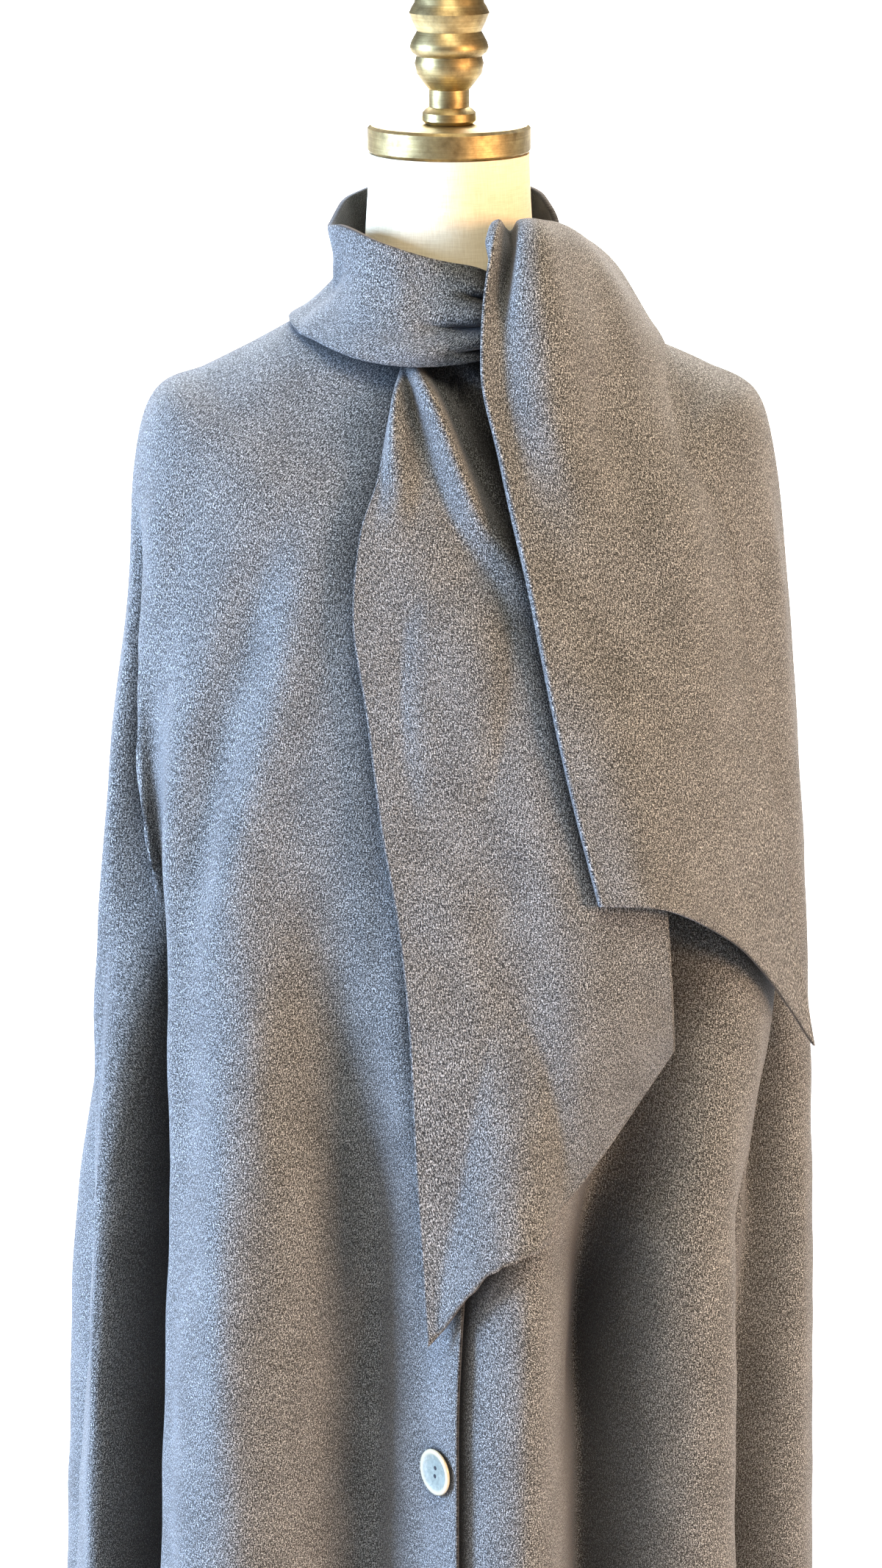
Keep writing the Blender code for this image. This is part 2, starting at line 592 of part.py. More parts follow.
def build_scarf(panels, wool):
    covers = [cape_cover()] + [outside_of(panel) for panel in panels]
    wrap = add_sheet("scarf_wrap", wrap_middle(covers), WRAP_CLOTH, wool)
    covers.append(surface_of(wrap))
    under_middle = rested(end_middle(UNDER_SECTIONS, UNDER_FOLDS, covers, UNDER_END_GAP), covers[1])
    covers.append(outside_of(add_sheet("scarf_end_under", under_middle, CLOTH, wool)))
    over_middle = end_middle(OVER_SECTIONS, OVER_FOLDS, covers, OVER_END_GAP)
    add_sheet("scarf_end_over", over_middle, CLOTH, wool)


def form_ring(rings, place):
    ring = row_values(rings, place)
    points = []
    for step in range(FORM_SIDES):
        angle = math.tau * step / FORM_SIDES
        side, front = math.sin(angle), math.cos(angle)
        depth, end_z = (ring["front_y"], ring["front_z"]) if front > 0 else (-ring["back_y"], ring["back_z"])
        z = ring["side_z"] + (end_z - ring["side_z"]) * front * front
        points.append(Vector((ring["side_x"] * side, depth * front, z)))
    return points


def shoulder_ring(place):
    """A ring of the form just under the cape that rests on it."""
    points = []
    for step in range(FORM_SIDES):
        degrees = 360.0 * step / FORM_SIDES
        points.append(cape_point(degrees, place) - cape_normal(degrees, place) * FORM_UNDER_CLOTH)
    return points


def build_form(linen, brass):
    rings = [form_ring(NECK_RINGS, place) for place in range(len(NECK_RINGS))]
    cape_places = spread(0.0, len(CAPE_RINGS) - 1.0, CAPE_ROWS)
    rings += [shoulder_ring(cape_places[row]) for row in range(1, SHOULDER_ROWS + 1)]
    rings += [form_ring(BODY_RINGS, place) for place in range(len(BODY_RINGS))]
    add_stack("form_body", list(reversed(rings)), linen)

    pole_bottom, pole_top = FOOT_HEIGHT + TOUCH_GAP, FORM_BOTTOM_Z - TOUCH_GAP
    turned("pole", [(POLE_RADIUS, pole_bottom), (POLE_RADIUS, pole_top)], brass, 20)
    foot = [(FOOT_RADIUS, 0.0), (FOOT_RADIUS, 0.010), (0.175, 0.0165), (0.060, 0.026), (0.030, FOOT_HEIGHT)]
    turned("foot", foot, brass, 28)


def build_neck_fittings(brass):
    edge = 0.0020
    cap_top = NECK_TOP_Z + CAP_HEIGHT
    cap = [
        (CAP_RADIUS - edge, NECK_TOP_Z),
        (CAP_RADIUS, NECK_TOP_Z + edge),
        (CAP_RADIUS, cap_top - edge),
        (CAP_RADIUS - edge, cap_top),
    ]
    turned("neck_cap", cap, brass, 28)

    # Radius and height above the cap, in millimetres: the base bead, the stem, the bulb, two rings with a
    # waist between them, the drum, and the plain knob above the photo's edge.
    outline = [
        (16.5, 0.0), (18.9, 2.6), (18.9, 8.0), (16.5, 10.6), (14.3, 12.0), (14.3, 24.0), (17.0, 27.0),
        (23.0, 35.0), (24.3, 42.0), (23.0, 47.0), (26.8, 50.0), (27.7, 53.0), (26.5, 57.0), (22.6, 64.1),
        (26.0, 71.0), (28.1, 76.6), (26.0, 81.0), (24.3, 83.5), (23.5, 91.0), (19.0, 97.0), (22.5, 104.0),
        (25.5, 114.0), (24.0, 126.0), (17.5, 136.0), (7.0, 143.0),
    ]
    base = cap_top + TOUCH_GAP
    turned("finial", [(radius / 1000, base + height / 1000) for radius, height in outline], brass, 20)


def main():
    for old in list(bpy.data.objects):
        bpy.data.objects.remove(old, do_unlink=True)
    wool = material("grey_melange_wool", (0.115, 0.112, 0.112), 0.95)
    linen = material("cream_linen_cover", (0.80, 0.73, 0.60), 0.85)
    brass = material("brushed_antique_brass", (0.42, 0.34, 0.19), 0.32, 1.0)
    horn = material("grey_horn_button", (0.36, 0.38, 0.36), 0.25)
    panels = build_cape(wool)
    build_buttons(panels[0], horn)
    build_scarf(panels, wool)
    build_form(linen, brass)
    build_neck_fittings(brass)


main()
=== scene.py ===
import math
from collections import namedtuple

import bpy
from mathutils import Matrix, Vector, noise
from mathutils.bvhtree import BVHTree


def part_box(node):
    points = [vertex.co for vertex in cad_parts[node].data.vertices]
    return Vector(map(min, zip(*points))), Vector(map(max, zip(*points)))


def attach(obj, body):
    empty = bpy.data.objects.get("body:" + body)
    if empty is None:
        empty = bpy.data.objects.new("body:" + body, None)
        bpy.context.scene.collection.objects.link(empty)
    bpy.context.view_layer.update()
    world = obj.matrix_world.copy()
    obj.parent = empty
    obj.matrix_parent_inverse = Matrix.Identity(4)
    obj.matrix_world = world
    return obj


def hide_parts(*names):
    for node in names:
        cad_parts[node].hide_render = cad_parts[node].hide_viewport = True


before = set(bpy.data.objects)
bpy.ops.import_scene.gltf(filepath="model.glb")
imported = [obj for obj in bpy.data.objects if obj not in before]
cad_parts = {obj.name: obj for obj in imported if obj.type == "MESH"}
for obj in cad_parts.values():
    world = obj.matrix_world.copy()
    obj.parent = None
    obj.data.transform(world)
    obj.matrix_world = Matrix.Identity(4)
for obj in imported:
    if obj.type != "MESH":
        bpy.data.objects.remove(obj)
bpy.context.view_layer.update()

# The view: a long lens from a little above the shoulders, looking down at the front.
# The photo is 1200 x 2133 pixels, and its perspective gives an 80 mm lens on a 36 mm high frame.
LOOK_DOWN_DEG = 17.3
camera = bpy.data.objects.new("camera", bpy.data.cameras.new("camera"))
camera.data.lens = 80.0
camera.data.sensor_width = 36.0
camera.data.clip_end = 200.0
camera.location = (-0.0057, -2.472, 1.8243)
camera.rotation_euler = (math.radians(90 - LOOK_DOWN_DEG), 0.0, 0.0)
bpy.context.scene.collection.objects.link(camera)
bpy.context.scene.camera = camera


def linear(hex_colour):
    """An sRGB colour such as 8A7F70, as the linear red, green, blue and alpha that a node takes."""
    shares = [int(hex_colour[at:at + 2], 16) / 255 for at in (0, 2, 4)]
    lit = [share / 12.92 if share <= 0.04045 else ((share + 0.055) / 1.055) ** 2.4 for share in shares]
    return lit + [1.0]


# The studio: daylight from a window on the viewer's left, a warm lamp on the right, a soft light above,
# all plain panels. Their colours are what turns the wool blue-grey on the left and brown-grey on the right.
SoftPanel = namedtuple("SoftPanel", "name place aim colour watts size")
SOFT_PANELS = [
    SoftPanel("window_left", (-3.4, -0.75, 1.8), (0.0, 0.0, 0.9), "B2D0FF", 385.0, 1.3),
    SoftPanel("lamp_right", (2.9, -2.3, 1.9), (0.0, 0.0, 0.9), "FFCD9F", 165.0, 1.2),
    SoftPanel("ceiling", (0.0, -1.6, 4.0), (0.0, 0.0, 1.2), "FFF2DE", 80.0, 1.4),
    SoftPanel("floor_wash_near", (0.0, 6.0, 6.0), (0.0, 6.5, 0.0), "FFFFFF", 1500.0, 6.0),
    SoftPanel("floor_wash_far", (0.0, 14.0, 8.0), (0.0, 15.0, 0.0), "FFFFFF", 3600.0, 10.0),
]
for panel in SOFT_PANELS:
    lamp = bpy.data.lights.new(panel.name, "AREA")
    lamp.energy = panel.watts
    lamp.color = linear(panel.colour)[:3]
    lamp.size = panel.size
    lit_from = bpy.data.objects.new(panel.name, lamp)
    lit_from.location = panel.place
    lit_from.rotation_euler = (Vector(panel.aim) - Vector(panel.place)).to_track_quat("-Z", "Y").to_euler()
    bpy.context.scene.collection.objects.link(lit_from)
world = bpy.data.worlds.new("pale_room")
world.use_nodes = True
world.node_tree.nodes["Background"].inputs["Color"].default_value = linear("F4F6FA")
world.node_tree.nodes["Background"].inputs["Strength"].default_value = 0.14
bpy.context.scene.world = world
bpy.context.scene.view_settings.view_transform = "Standard"


def add_node(tree, kind, settings=None, links=None):
    """Adds one node: settings holds its options and unlinked sockets, links the sockets it is fed from.
    A Mix node's sockets share their names, so they go by number: 0 is the share, 2 and 3 are the two
    numbers to mix, 6 and 7 the two colours."""
    node = tree.nodes.new(kind)
    for key, value in (settings or {}).items():
        if isinstance(key, str) and hasattr(node, key) and key not in node.inputs:
            setattr(node, key, value)
        else:
            node.inputs[key].default_value = value
    for key, source in (links or {}).items():
        tree.links.new(source, node.inputs[key])
    return node


def new_finish(name):
    """An empty material and its node tree, with the shader that every finish here ends in."""
    finish = bpy.data.materials.new(name)
    finish.use_nodes = True
    return finish, finish.node_tree, finish.node_tree.nodes["Principled BSDF"]


# The floor: a plain pale studio floor of painted board, large enough to fill the view behind the form.
floor_finish, floor_tree, floor_shader = new_finish("pale_painted_floor")
floor_shader.inputs["Base Color"].default_value = linear("F1F1F0")
floor_shader.inputs["Roughness"].default_value = 0.75
FLOOR_REACH = 60.0
FLOOR_TOP_Z = -0.001
floor_mesh = bpy.data.meshes.new("floor")
floor_signs = ((-1, -1), (1, -1), (1, 1), (-1, 1))
floor_corners = [(across * FLOOR_REACH, along * FLOOR_REACH, FLOOR_TOP_Z) for across, along in floor_signs]
floor_mesh.from_pydata(floor_corners, [], [(0, 1, 2, 3)])
floor_mesh.materials.append(floor_finish)
floor = bpy.data.objects.new("floor", floor_mesh)
bpy.context.scene.collection.objects.link(floor)


# The brass: the neck cap, the finial, the pole and the foot are brass, turned on a lathe and left to darken.
# It shows fine brushed rings, brown tarnish in patches and in the grooves, and paler rubbed places.
brass, tree, shader = new_finish("brushed_antique_brass")
brass_place = add_node(tree, "ShaderNodeTexCoord").outputs["Object"]
# Brush marks of the lathe, 0.6 mm apart in height and long round the axis, drawn coarse enough to show.
lathe_space = add_node(tree, "ShaderNodeMapping", {"Scale": (18.0, 18.0, 1700.0)}, {"Vector": brass_place})
lathe = add_node(
    tree, "ShaderNodeTexNoise",
    {"Scale": 1.0, "Detail": 3.0, "Roughness": 0.6},
    {"Vector": lathe_space.outputs[0]},
)
# Tarnish in patches of about 15 mm.
tarnish = add_node(
    tree, "ShaderNodeTexNoise", {"Scale": 62.0, "Detail": 6.0, "Roughness": 0.62}, {"Vector": brass_place}
)
tarnish_share = add_node(
    tree, "ShaderNodeMapRange", {"From Min": 0.36, "From Max": 0.68}, {"Value": tarnish.outputs["Fac"]}
)
ring_share = add_node(
    tree, "ShaderNodeMapRange", {"From Min": 0.30, "From Max": 0.72}, {"Value": lathe.outputs["Fac"]}
)
clean = add_node(
    tree, "ShaderNodeMix",
    {"data_type": "RGBA", 6: linear("A28E5E"), 7: linear("CFBC88")},
    {0: ring_share.outputs[0]},
)
aged = add_node(
    tree, "ShaderNodeMix",
    {"data_type": "RGBA", 7: linear("7A6A48")},
    {0: tarnish_share.outputs[0], 6: clean.outputs[2]},
)
tree.links.new(aged.outputs[2], shader.inputs["Base Color"])
shader.inputs["Metallic"].default_value = 1.0
gloss = add_node(
    tree, "ShaderNodeMapRange", {"To Min": 0.33, "To Max": 0.56}, {"Value": tarnish.outputs["Fac"]}
)
tree.links.new(gloss.outputs[0], shader.inputs["Roughness"])
marks = add_node(
    tree, "ShaderNodeBump", {"Strength": 0.18, "Distance": 0.0003}, {"Height": lathe.outputs["Fac"]}
)
tree.links.new(marks.outputs[0], shader.inputs["Normal"])
# The turned pieces come with flat sides: this makes their shading even round the axis, and keeps sharp rims.
SHARP_RIM_DEG = 38
even_shading = bpy.data.node_groups.new("even_shading", "GeometryNodeTree")
even_shading.interface.new_socket("Geometry", in_out="INPUT", socket_type="NodeSocketGeometry")
even_shading.interface.new_socket("Geometry", in_out="OUTPUT", socket_type="NodeSocketGeometry")
given = add_node(even_shading, "NodeGroupInput")
joined = add_node(
    even_shading, "GeometryNodeMergeByDistance", {"Distance": 0.00001}, {"Geometry": given.outputs[0]}
)
unset = add_node(
    even_shading, "GeometryNodeRemoveAttribute", {"Name": "custom_normal"}, {"Geometry": joined.outputs[0]}
)
round_all = add_node(
    even_shading, "GeometryNodeSetShadeSmooth", {"Shade Smooth": True}, {"Geometry": unset.outputs[0]}
)
fold_angle = add_node(even_shading, "GeometryNodeInputMeshEdgeAngle")
sharp = add_node(
    even_shading, "FunctionNodeCompare",
    {"operation": "GREATER_THAN", "B": math.radians(SHARP_RIM_DEG)},
    {"A": fold_angle.outputs[0]},
)
rims = add_node(
    even_shading, "GeometryNodeSetShadeSmooth", {"domain": "EDGE", "Shade Smooth": False},
    {"Geometry": round_all.outputs[0], "Selection": sharp.outputs[0]},
)
add_node(even_shading, "NodeGroupOutput", {}, {"Geometry": rims.outputs[0]})
for name in ("foot", "pole", "neck_cap", "finial"):
    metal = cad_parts[name]
    metal.modifiers.new("even_shading", "NODES").node_group = even_shading
    for socket in metal.material_slots:
        socket.material = brass


# The form's cover: cream cotton-linen canvas in a plain weave, glued over the padded body and the neck.
# Matt, with threads about 0.7 mm apart that show as a fine grain, and slubs about a centimetre long.
canvas, tree, shader = new_finish("cream_linen_canvas")
canvas_place = add_node(tree, "ShaderNodeTexCoord").outputs["Object"]
warp_space = add_node(tree, "ShaderNodeMapping", {"Scale": (1400.0, 1400.0, 90.0)}, {"Vector": canvas_place})
warp = add_node(tree, "ShaderNodeTexNoise", {"Scale": 1.0, "Detail": 2.0}, {"Vector": warp_space.outputs[0]})
weft_space = add_node(tree, "ShaderNodeMapping", {"Scale": (80.0, 80.0, 1400.0)}, {"Vector": canvas_place})
weft = add_node(tree, "ShaderNodeTexNoise", {"Scale": 1.0, "Detail": 2.0}, {"Vector": weft_space.outputs[0]})
threads = add_node(
    tree, "ShaderNodeMath", {"operation": "ADD"}, {0: warp.outputs["Fac"], 1: weft.outputs["Fac"]}
)
thread_share = add_node(
    tree, "ShaderNodeMapRange", {"From Min": 0.7, "From Max": 1.3}, {"Value": threads.outputs[0]}
)
cover = add_node(
    tree, "ShaderNodeMix",
    {"data_type": "RGBA", 6: linear("E9DBB6"), 7: linear("FAEFCE")},
    {0: thread_share.outputs[0]},
)
tree.links.new(cover.outputs[2], shader.inputs["Base Color"])
shader.inputs["Roughness"].default_value = 0.85
shader.inputs["Sheen Weight"].default_value = 0.15
shader.inputs["Sheen Roughness"].default_value = 0.6
weave = add_node(
    tree, "ShaderNodeBump", {"Strength": 0.35, "Distance": 0.0004}, {"Height": threads.outputs[0]}
)
tree.links.new(weave.outputs[0], shader.inputs["Normal"])
form_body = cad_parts["form_body"]
form_body.modifiers.new("even_shading", "NODES").node_group = even_shading
for socket in form_body.material_slots:
    socket.material = canvas


# The wool: a carded flannel woven from dark, mid and pale grey fibres mixed before spinning, lightly milled.
# It is matt with a soft short nap, and shows as a salt-and-pepper grain with faint cloudy patches.
wool, tree, shader = new_finish("grey_melange_flannel")
cut_place = add_node(tree, "ShaderNodeUVMap", {"uv_map": "cut"}).outputs["UV"]
# Flecks of single fibres and tufts. A real fleck is about 0.3 mm wide. Here it is 0.8 x 1.2 mm, drawn
# coarser so that it shows.
fleck_space = add_node(tree, "ShaderNodeMapping", {"Scale": (1200.0, 850.0, 1.0)}, {"Vector": cut_place})
fleck = add_node(
    tree, "ShaderNodeTexNoise",
    {"Scale": 1.0, "Detail": 3.0, "Roughness": 0.8},
    {"Vector": fleck_space.outputs[0]},
)
# Longer pale fibres that lie on a slant, 0.7 mm wide and 4 mm long.
fibre_space = add_node(
    tree, "ShaderNodeMapping",
    {"Rotation": (0.0, 0.0, 0.6), "Scale": (1400.0, 260.0, 1.0)},
    {"Vector": cut_place},
)
fibre = add_node(
    tree, "ShaderNodeTexNoise", {"Scale": 1.0, "Detail": 2.0}, {"Vector": fibre_space.outputs[0]}
)
# The mix of fibres is uneven, in clouds of about 30 x 45 mm.
cloud_space = add_node(tree, "ShaderNodeMapping", {"Scale": (34.0, 22.0, 1.0)}, {"Vector": cut_place})
cloud = add_node(
    tree, "ShaderNodeTexNoise", {"Scale": 1.0, "Detail": 3.0}, {"Vector": cloud_space.outputs[0]}
)
grain = add_node(
    tree, "ShaderNodeMix", {"data_type": "FLOAT", 0: 0.26}, {2: fleck.outputs["Fac"], 3: fibre.outputs["Fac"]}
)
cloudy = add_node(
    tree, "ShaderNodeMapRange",
    {"From Min": 0.3, "From Max": 0.7, "To Min": -0.008, "To Max": 0.008},
    {"Value": cloud.outputs["Fac"]},
)
mixed = add_node(tree, "ShaderNodeMath", {"operation": "ADD"}, {0: grain.outputs[0], 1: cloudy.outputs[0]})
shades = add_node(tree, "ShaderNodeValToRGB", {}, {"Fac": mixed.outputs[0]})
shades.color_ramp.elements[0].position = 0.42
shades.color_ramp.elements[0].color = linear("0B0D0E")
shades.color_ramp.elements[1].position = 0.615
shades.color_ramp.elements[1].color = linear("D2D6D4")
middle_shade = shades.color_ramp.elements.new(0.50)
middle_shade.color = linear("3E4140")
# The edges are turned in, pressed and stitched 2 mm in; the slightly darker band along them is painted shade.
edge = add_node(tree, "ShaderNodeAttribute", {"attribute_name": "edge"})
painted_edge_shade = add_node(tree, "ShaderNodeMath", {"operation": "MULTIPLY", 1: 0.12}, {0: edge.outputs["Fac"]})
cloth = add_node(
    tree, "ShaderNodeMix",
    {"data_type": "RGBA", 7: linear("2C2C2C")},
    {0: painted_edge_shade.outputs[0], 6: shades.outputs["Color"]},
)
# Painted shade in the folds: the cloth's colour is darkened where something lies within 90 mm of it,
# deeper than the lamps alone give.
painted_fold_shade_ao = add_node(tree, "ShaderNodeAmbientOcclusion", {"samples": 8, "Distance": 0.09})
depth = add_node(
    tree, "ShaderNodeMapRange",
    {"From Min": 0.28, "From Max": 0.88, "To Min": 0.05},
    {"Value": painted_fold_shade_ao.outputs["AO"]},
)
shaded = add_node(
    tree, "ShaderNodeVectorMath", {"operation": "SCALE"}, {0: cloth.outputs[2], "Scale": depth.outputs[0]}
)
tree.links.new(shaded.outputs[0], shader.inputs["Base Color"])
shader.inputs["Roughness"].default_value = 0.95
shader.inputs["Specular IOR Level"].default_value = 0.2
shader.inputs["Sheen Weight"].default_value = 0.25
shader.inputs["Sheen Roughness"].default_value = 0.5
nap = add_node(tree, "ShaderNodeBump", {"Strength": 0.75, "Distance": 0.0010}, {"Height": grain.outputs[0]})
tree.links.new(nap.outputs[0], shader.inputs["Normal"])
# The edge's own thickness, where the cloth is turned over and pressed: the same wool, darker, as painted
# shade on the rim.
wool_rim_shade = wool.copy()
wool_rim_shade.name = "grey_melange_flannel_rim_shade"
rim_shade_tones = wool_rim_shade.node_tree.nodes[shades.name].color_ramp.elements
for tone, element in zip(("060707", "1C1D1D", "6A6C6B"), rim_shade_tones):
    element.color = linear(tone)


# The cape: two fronts and a back cut in one with the shoulders, with no sleeves. It hangs from the neck seam
# over the shoulders and falls in flutes. Its shape is a stack of rings with the flutes laid on, in metres:
# degrees run round the neck from the centre front, positive to the wearer's left.
CLOTH = 0.0022
TOUCH_GAP = 0.0003
SIDE_SEAM_DEG = 90.0
LAP_EDGE_DEG = 3.0
UNDERLAP_DEG = -6.0
LAP_START_DEG = -12.0
PLACKET_START_DEG = -2.6
LAP_GAP = 0.0018
LAP_EDGE_LIFT = 0.0045
LAP_EDGE_LIFT_LOW = 0.0120
LAP_OPENS_Z = 1.10
LAP_OPEN_Z = 0.60
LAP_RISEN_DEG = UNDERLAP_DEG - 0.8
LAP_LIFTED_DEG = LAP_EDGE_DEG + 1.5
# Each row is one ring of the cape, from the neck seam to the hem. The sides, the centre front and the
# centre back of a ring have their own heights, because it lies on the slope of the shoulders.
CapeRing = namedtuple("CapeRing", "name side_z left_x right_x front_z front_y back_z back_y")
CAPE_RINGS = [
    CapeRing("neck_seam", 1.416, 0.0740, 0.0740, 1.398, -0.072, 1.421, 0.066),
    CapeRing("collar_hollow", 1.404, 0.1000, 0.1030, 1.376, -0.087, 1.399, 0.085),
    CapeRing("mid_shoulder", 1.385, 0.1370, 0.1450, 1.345, -0.102, 1.363, 0.105),
    CapeRing("outer_shoulder", 1.366, 0.1750, 0.1860, 1.310, -0.117, 1.330, 0.120),
    CapeRing("shoulder_tip", 1.349, 0.2100, 0.2190, 1.274, -0.132, 1.290, 0.132),
    CapeRing("upper_arm", 1.299, 0.2250, 0.2340, 1.230, -0.146, 1.238, 0.141),
    CapeRing("bust", 1.212, 0.2310, 0.2450, 1.164, -0.159, 1.167, 0.149),
    CapeRing("elbow", 1.081, 0.2470, 0.2570, 1.060, -0.171, 1.060, 0.161),
    CapeRing("waist", 0.942, 0.2570, 0.2670, 0.938, -0.185, 0.938, 0.175),
    CapeRing("hip", 0.799, 0.2650, 0.2740, 0.799, -0.199, 0.799, 0.189),
    CapeRing("thigh", 0.651, 0.2730, 0.2770, 0.651, -0.212, 0.651, 0.202),
    CapeRing("knee", 0.498, 0.2810, 0.2810, 0.498, -0.224, 0.498, 0.214),
    CapeRing("hem", 0.335, 0.2890, 0.2870, 0.335, -0.236, 0.335, 0.226),
]

# Each row is one flute of the cape: it starts at start_z on the angle start_deg and is full low down, on
# hem_deg, which it reaches a little sooner. A positive height is a ridge, a negative one a hollow, and
# lean carries it sideways.
Flute = namedtuple("Flute", "name start_deg hem_deg start_z half_width_deg height lean")
FLUTES = [
    Flute("right_back_ridge", -112, -106, 1.00, 13, 0.030, 0.000),
    Flute("right_seam_hollow", -92, -86, 1.02, 8, -0.026, 0.000),
    Flute("right_side_ridge", -80, -69, 1.28, 9, 0.012, -0.004),
    Flute("right_side_hollow", -65, -56, 1.28, 5.5, -0.060, 0.000),
    Flute("right_breast_ridge", -33, -33, 1.18, 9, 0.050, 0.000),
    Flute("right_front_hollow", -25, -12.5, 1.15, 6.5, -0.036, 0.000),
    Flute("front_edge_lean", 0, 0, 0.85, 7, 0.000, -0.010),
    Flute("front_ridge", 18, 11, 1.16, 7, 0.052, 0.000),
    Flute("left_front_hollow", 44, 23, 1.14, 7, -0.044, 0.000),
    Flute("left_breast_ridge", 58, 39, 1.14, 9, 0.036, 0.000),
    Flute("left_side_hollow", 68, 56, 1.02, 7, -0.038, 0.000),
    Flute("left_side_ridge", 74, 70, 1.02, 10, 0.010, 0.000),
    Flute("left_seam_hollow", 94, 92, 0.98, 9, -0.026, 0.000),
    Flute("left_back_ridge", 112, 111, 1.04, 11, 0.018, 0.000),
    Flute("left_blade_hollow", 130, 132, 1.10, 10, -0.034, 0.000),
    Flute("left_spine_ridge", 150, 152, 1.06, 12, 0.026, 0.000),
    Flute("back_hollow", 174, 176, 1.12, 11, -0.036, 0.000),
    Flute("right_spine_ridge", -164, -160, 1.08, 11, 0.024, 0.000),
    Flute("right_blade_hollow", -138, -134, 1.10, 11, -0.034, 0.000),
]
FLUTE_FULL_Z = 0.64
FLUTE_DRIFT = 1.2


def smoothstep(low, high, value):
    """0 at low, 1 at high, and smooth between them; low may be the greater one."""
    share = min(1.0, max(0.0, (value - low) / (high - low)))
    return share * share * (3 - 2 * share)


def bump(distance):
    """1 at the middle, 0 from a distance of 2, and smooth all along."""
    return 0.5 + 0.5 * math.cos(math.pi * distance / 2) if abs(distance) < 2 else 0.0


def spline(values, place):
    """A smooth curve through evenly spaced values (numbers or vectors), read at a place from 0 to n - 1."""
    last = len(values) - 1
    index = min(last - 1, max(0, int(math.floor(place))))
    share = place - index
    before = values[max(0, index - 1)]
    here, after = values[index], values[index + 1]
    beyond = values[min(last, index + 2)]
    slope_here, slope_after = (after - before) * 0.5, (beyond - here) * 0.5
    square, cube = share * share, share * share * share
    return (
        here * (2 * cube - 3 * square + 1)
        + slope_here * (cube - 2 * square + share)
        + after * (3 * square - 2 * cube)
        + slope_after * (cube - square)
    )


def spread(start, end, count):
    """So many evenly spaced values, from the start to the end."""
    return [start + (end - start) * step / (count - 1) for step in range(count)]


def wrapped(degrees):
    """The same angle, from -180 up to 180."""
    return (degrees + 180.0) % 360.0 - 180.0


def row_values(rows, place):
    """The values of a table between its rows, by name."""
    return {name: spline([getattr(row, name) for row in rows], place) for name in rows[0]._fields[1:]}


def flute_shift(degrees, z):
    """How far the flutes carry a point of the cape outwards and sideways."""
    outwards = sideways = 0.0
    for flute in FLUTES:
        if z >= flute.start_z:
            continue
        share = smoothstep(flute.start_z, FLUTE_FULL_Z, z)
        middle = flute.start_deg + (flute.hem_deg - flute.start_deg) * min(1.0, share * FLUTE_DRIFT)
        near = bump(wrapped(degrees - middle) / flute.half_width_deg)
        outwards += flute.height * share * near
        sideways += flute.lean * share * near
    return outwards, sideways


# Small soft creases that the cloth takes between the flutes: each runs down its own line, comes in over its
# first fifth and dies out over its last.
CREASE_FADE = 0.22
Crease = namedtuple("Crease", "name top_deg foot_deg top_z foot_z half_width_deg height")
CREASES = [
    Crease("right_side_crevice", -77, -58, 1.290, 0.560, 2.6, -0.0420),
    Crease("right_side_foot_crevice", -66, -56, 1.000, -0.200, 2.6, -0.0460),
    Crease("right_breast_swell", -50, -49, 1.240, -0.200, 4.5, 0.0120),
    Crease("right_side_tube", -78, -70, 1.150, -0.200, 2.8, 0.0060),
    Crease("left_front_crevice", 46, 17, 1.160, 0.560, 4.6, -0.0120),
    Crease("left_front_foot_crevice", 25, 22, 0.860, -0.100, 4.2, -0.0110),
    Crease("left_side_crevice", 66, 55, 1.020, -0.100, 3.0, -0.0200),
    Crease("right_shoulder_drop", -62, -70, 1.330, 0.980, 5.0, 0.0050),
    Crease("right_breast_pull", -22, -44, 1.330, 0.900, 5.0, 0.0045),
    Crease("right_breast_hollow", -32, -54, 1.300, 0.860, 5.0, -0.0060),
    Crease("right_low_crease", -40, -30, 0.900, 0.340, 3.0, -0.0040),
    Crease("right_side_crease", -72, -76, 1.100, 0.500, 3.5, -0.0050),
    Crease("left_shoulder_drop", 70, 76, 1.320, 0.900, 5.0, 0.0040),
    Crease("left_side_crease", 60, 62, 1.000, 0.420, 3.0, 0.0040),
    Crease("left_low_crease", 48, 46, 0.900, 0.340, 3.0, -0.0050),
    Crease("nape_left", 150, 134, 1.380, 0.900, 7.0, 0.0040),
    Crease("nape_right", -150, -132, 1.380, 0.900, 7.0, 0.0040),
    Crease("back_low_left", 165, 162, 0.800, 0.340, 4.0, -0.0040),
    Crease("back_low_right", -172, -170, 0.860, 0.340, 4.0, 0.0040),
]


# Folds that stand towards the front, where the cloth of the arm's side falls beside a deep hollow.
FORWARD_FOLDS = [
    Crease("right_side_fold", -70, -65, 1.200, -0.300, 2.3, 0.0200),
    Crease("right_side_gap", -63.5, -58, 1.200, -0.300, 2.2, -0.0200),
]


def crease_height(degrees, z, creases=CREASES):
    """How far the creases move a point of the cape."""
    total = 0.0
    for crease in creases:
        travel = (crease.top_z - z) / (crease.top_z - crease.foot_z)
        if not 0 < travel < 1:
            continue
        middle = crease.top_deg + (crease.foot_deg - crease.top_deg) * travel
        fade = smoothstep(0.0, CREASE_FADE, travel) * smoothstep(1.0, 1 - CREASE_FADE, travel)
        total += crease.height * fade * bump(wrapped(degrees - middle) / crease.half_width_deg)
    return total


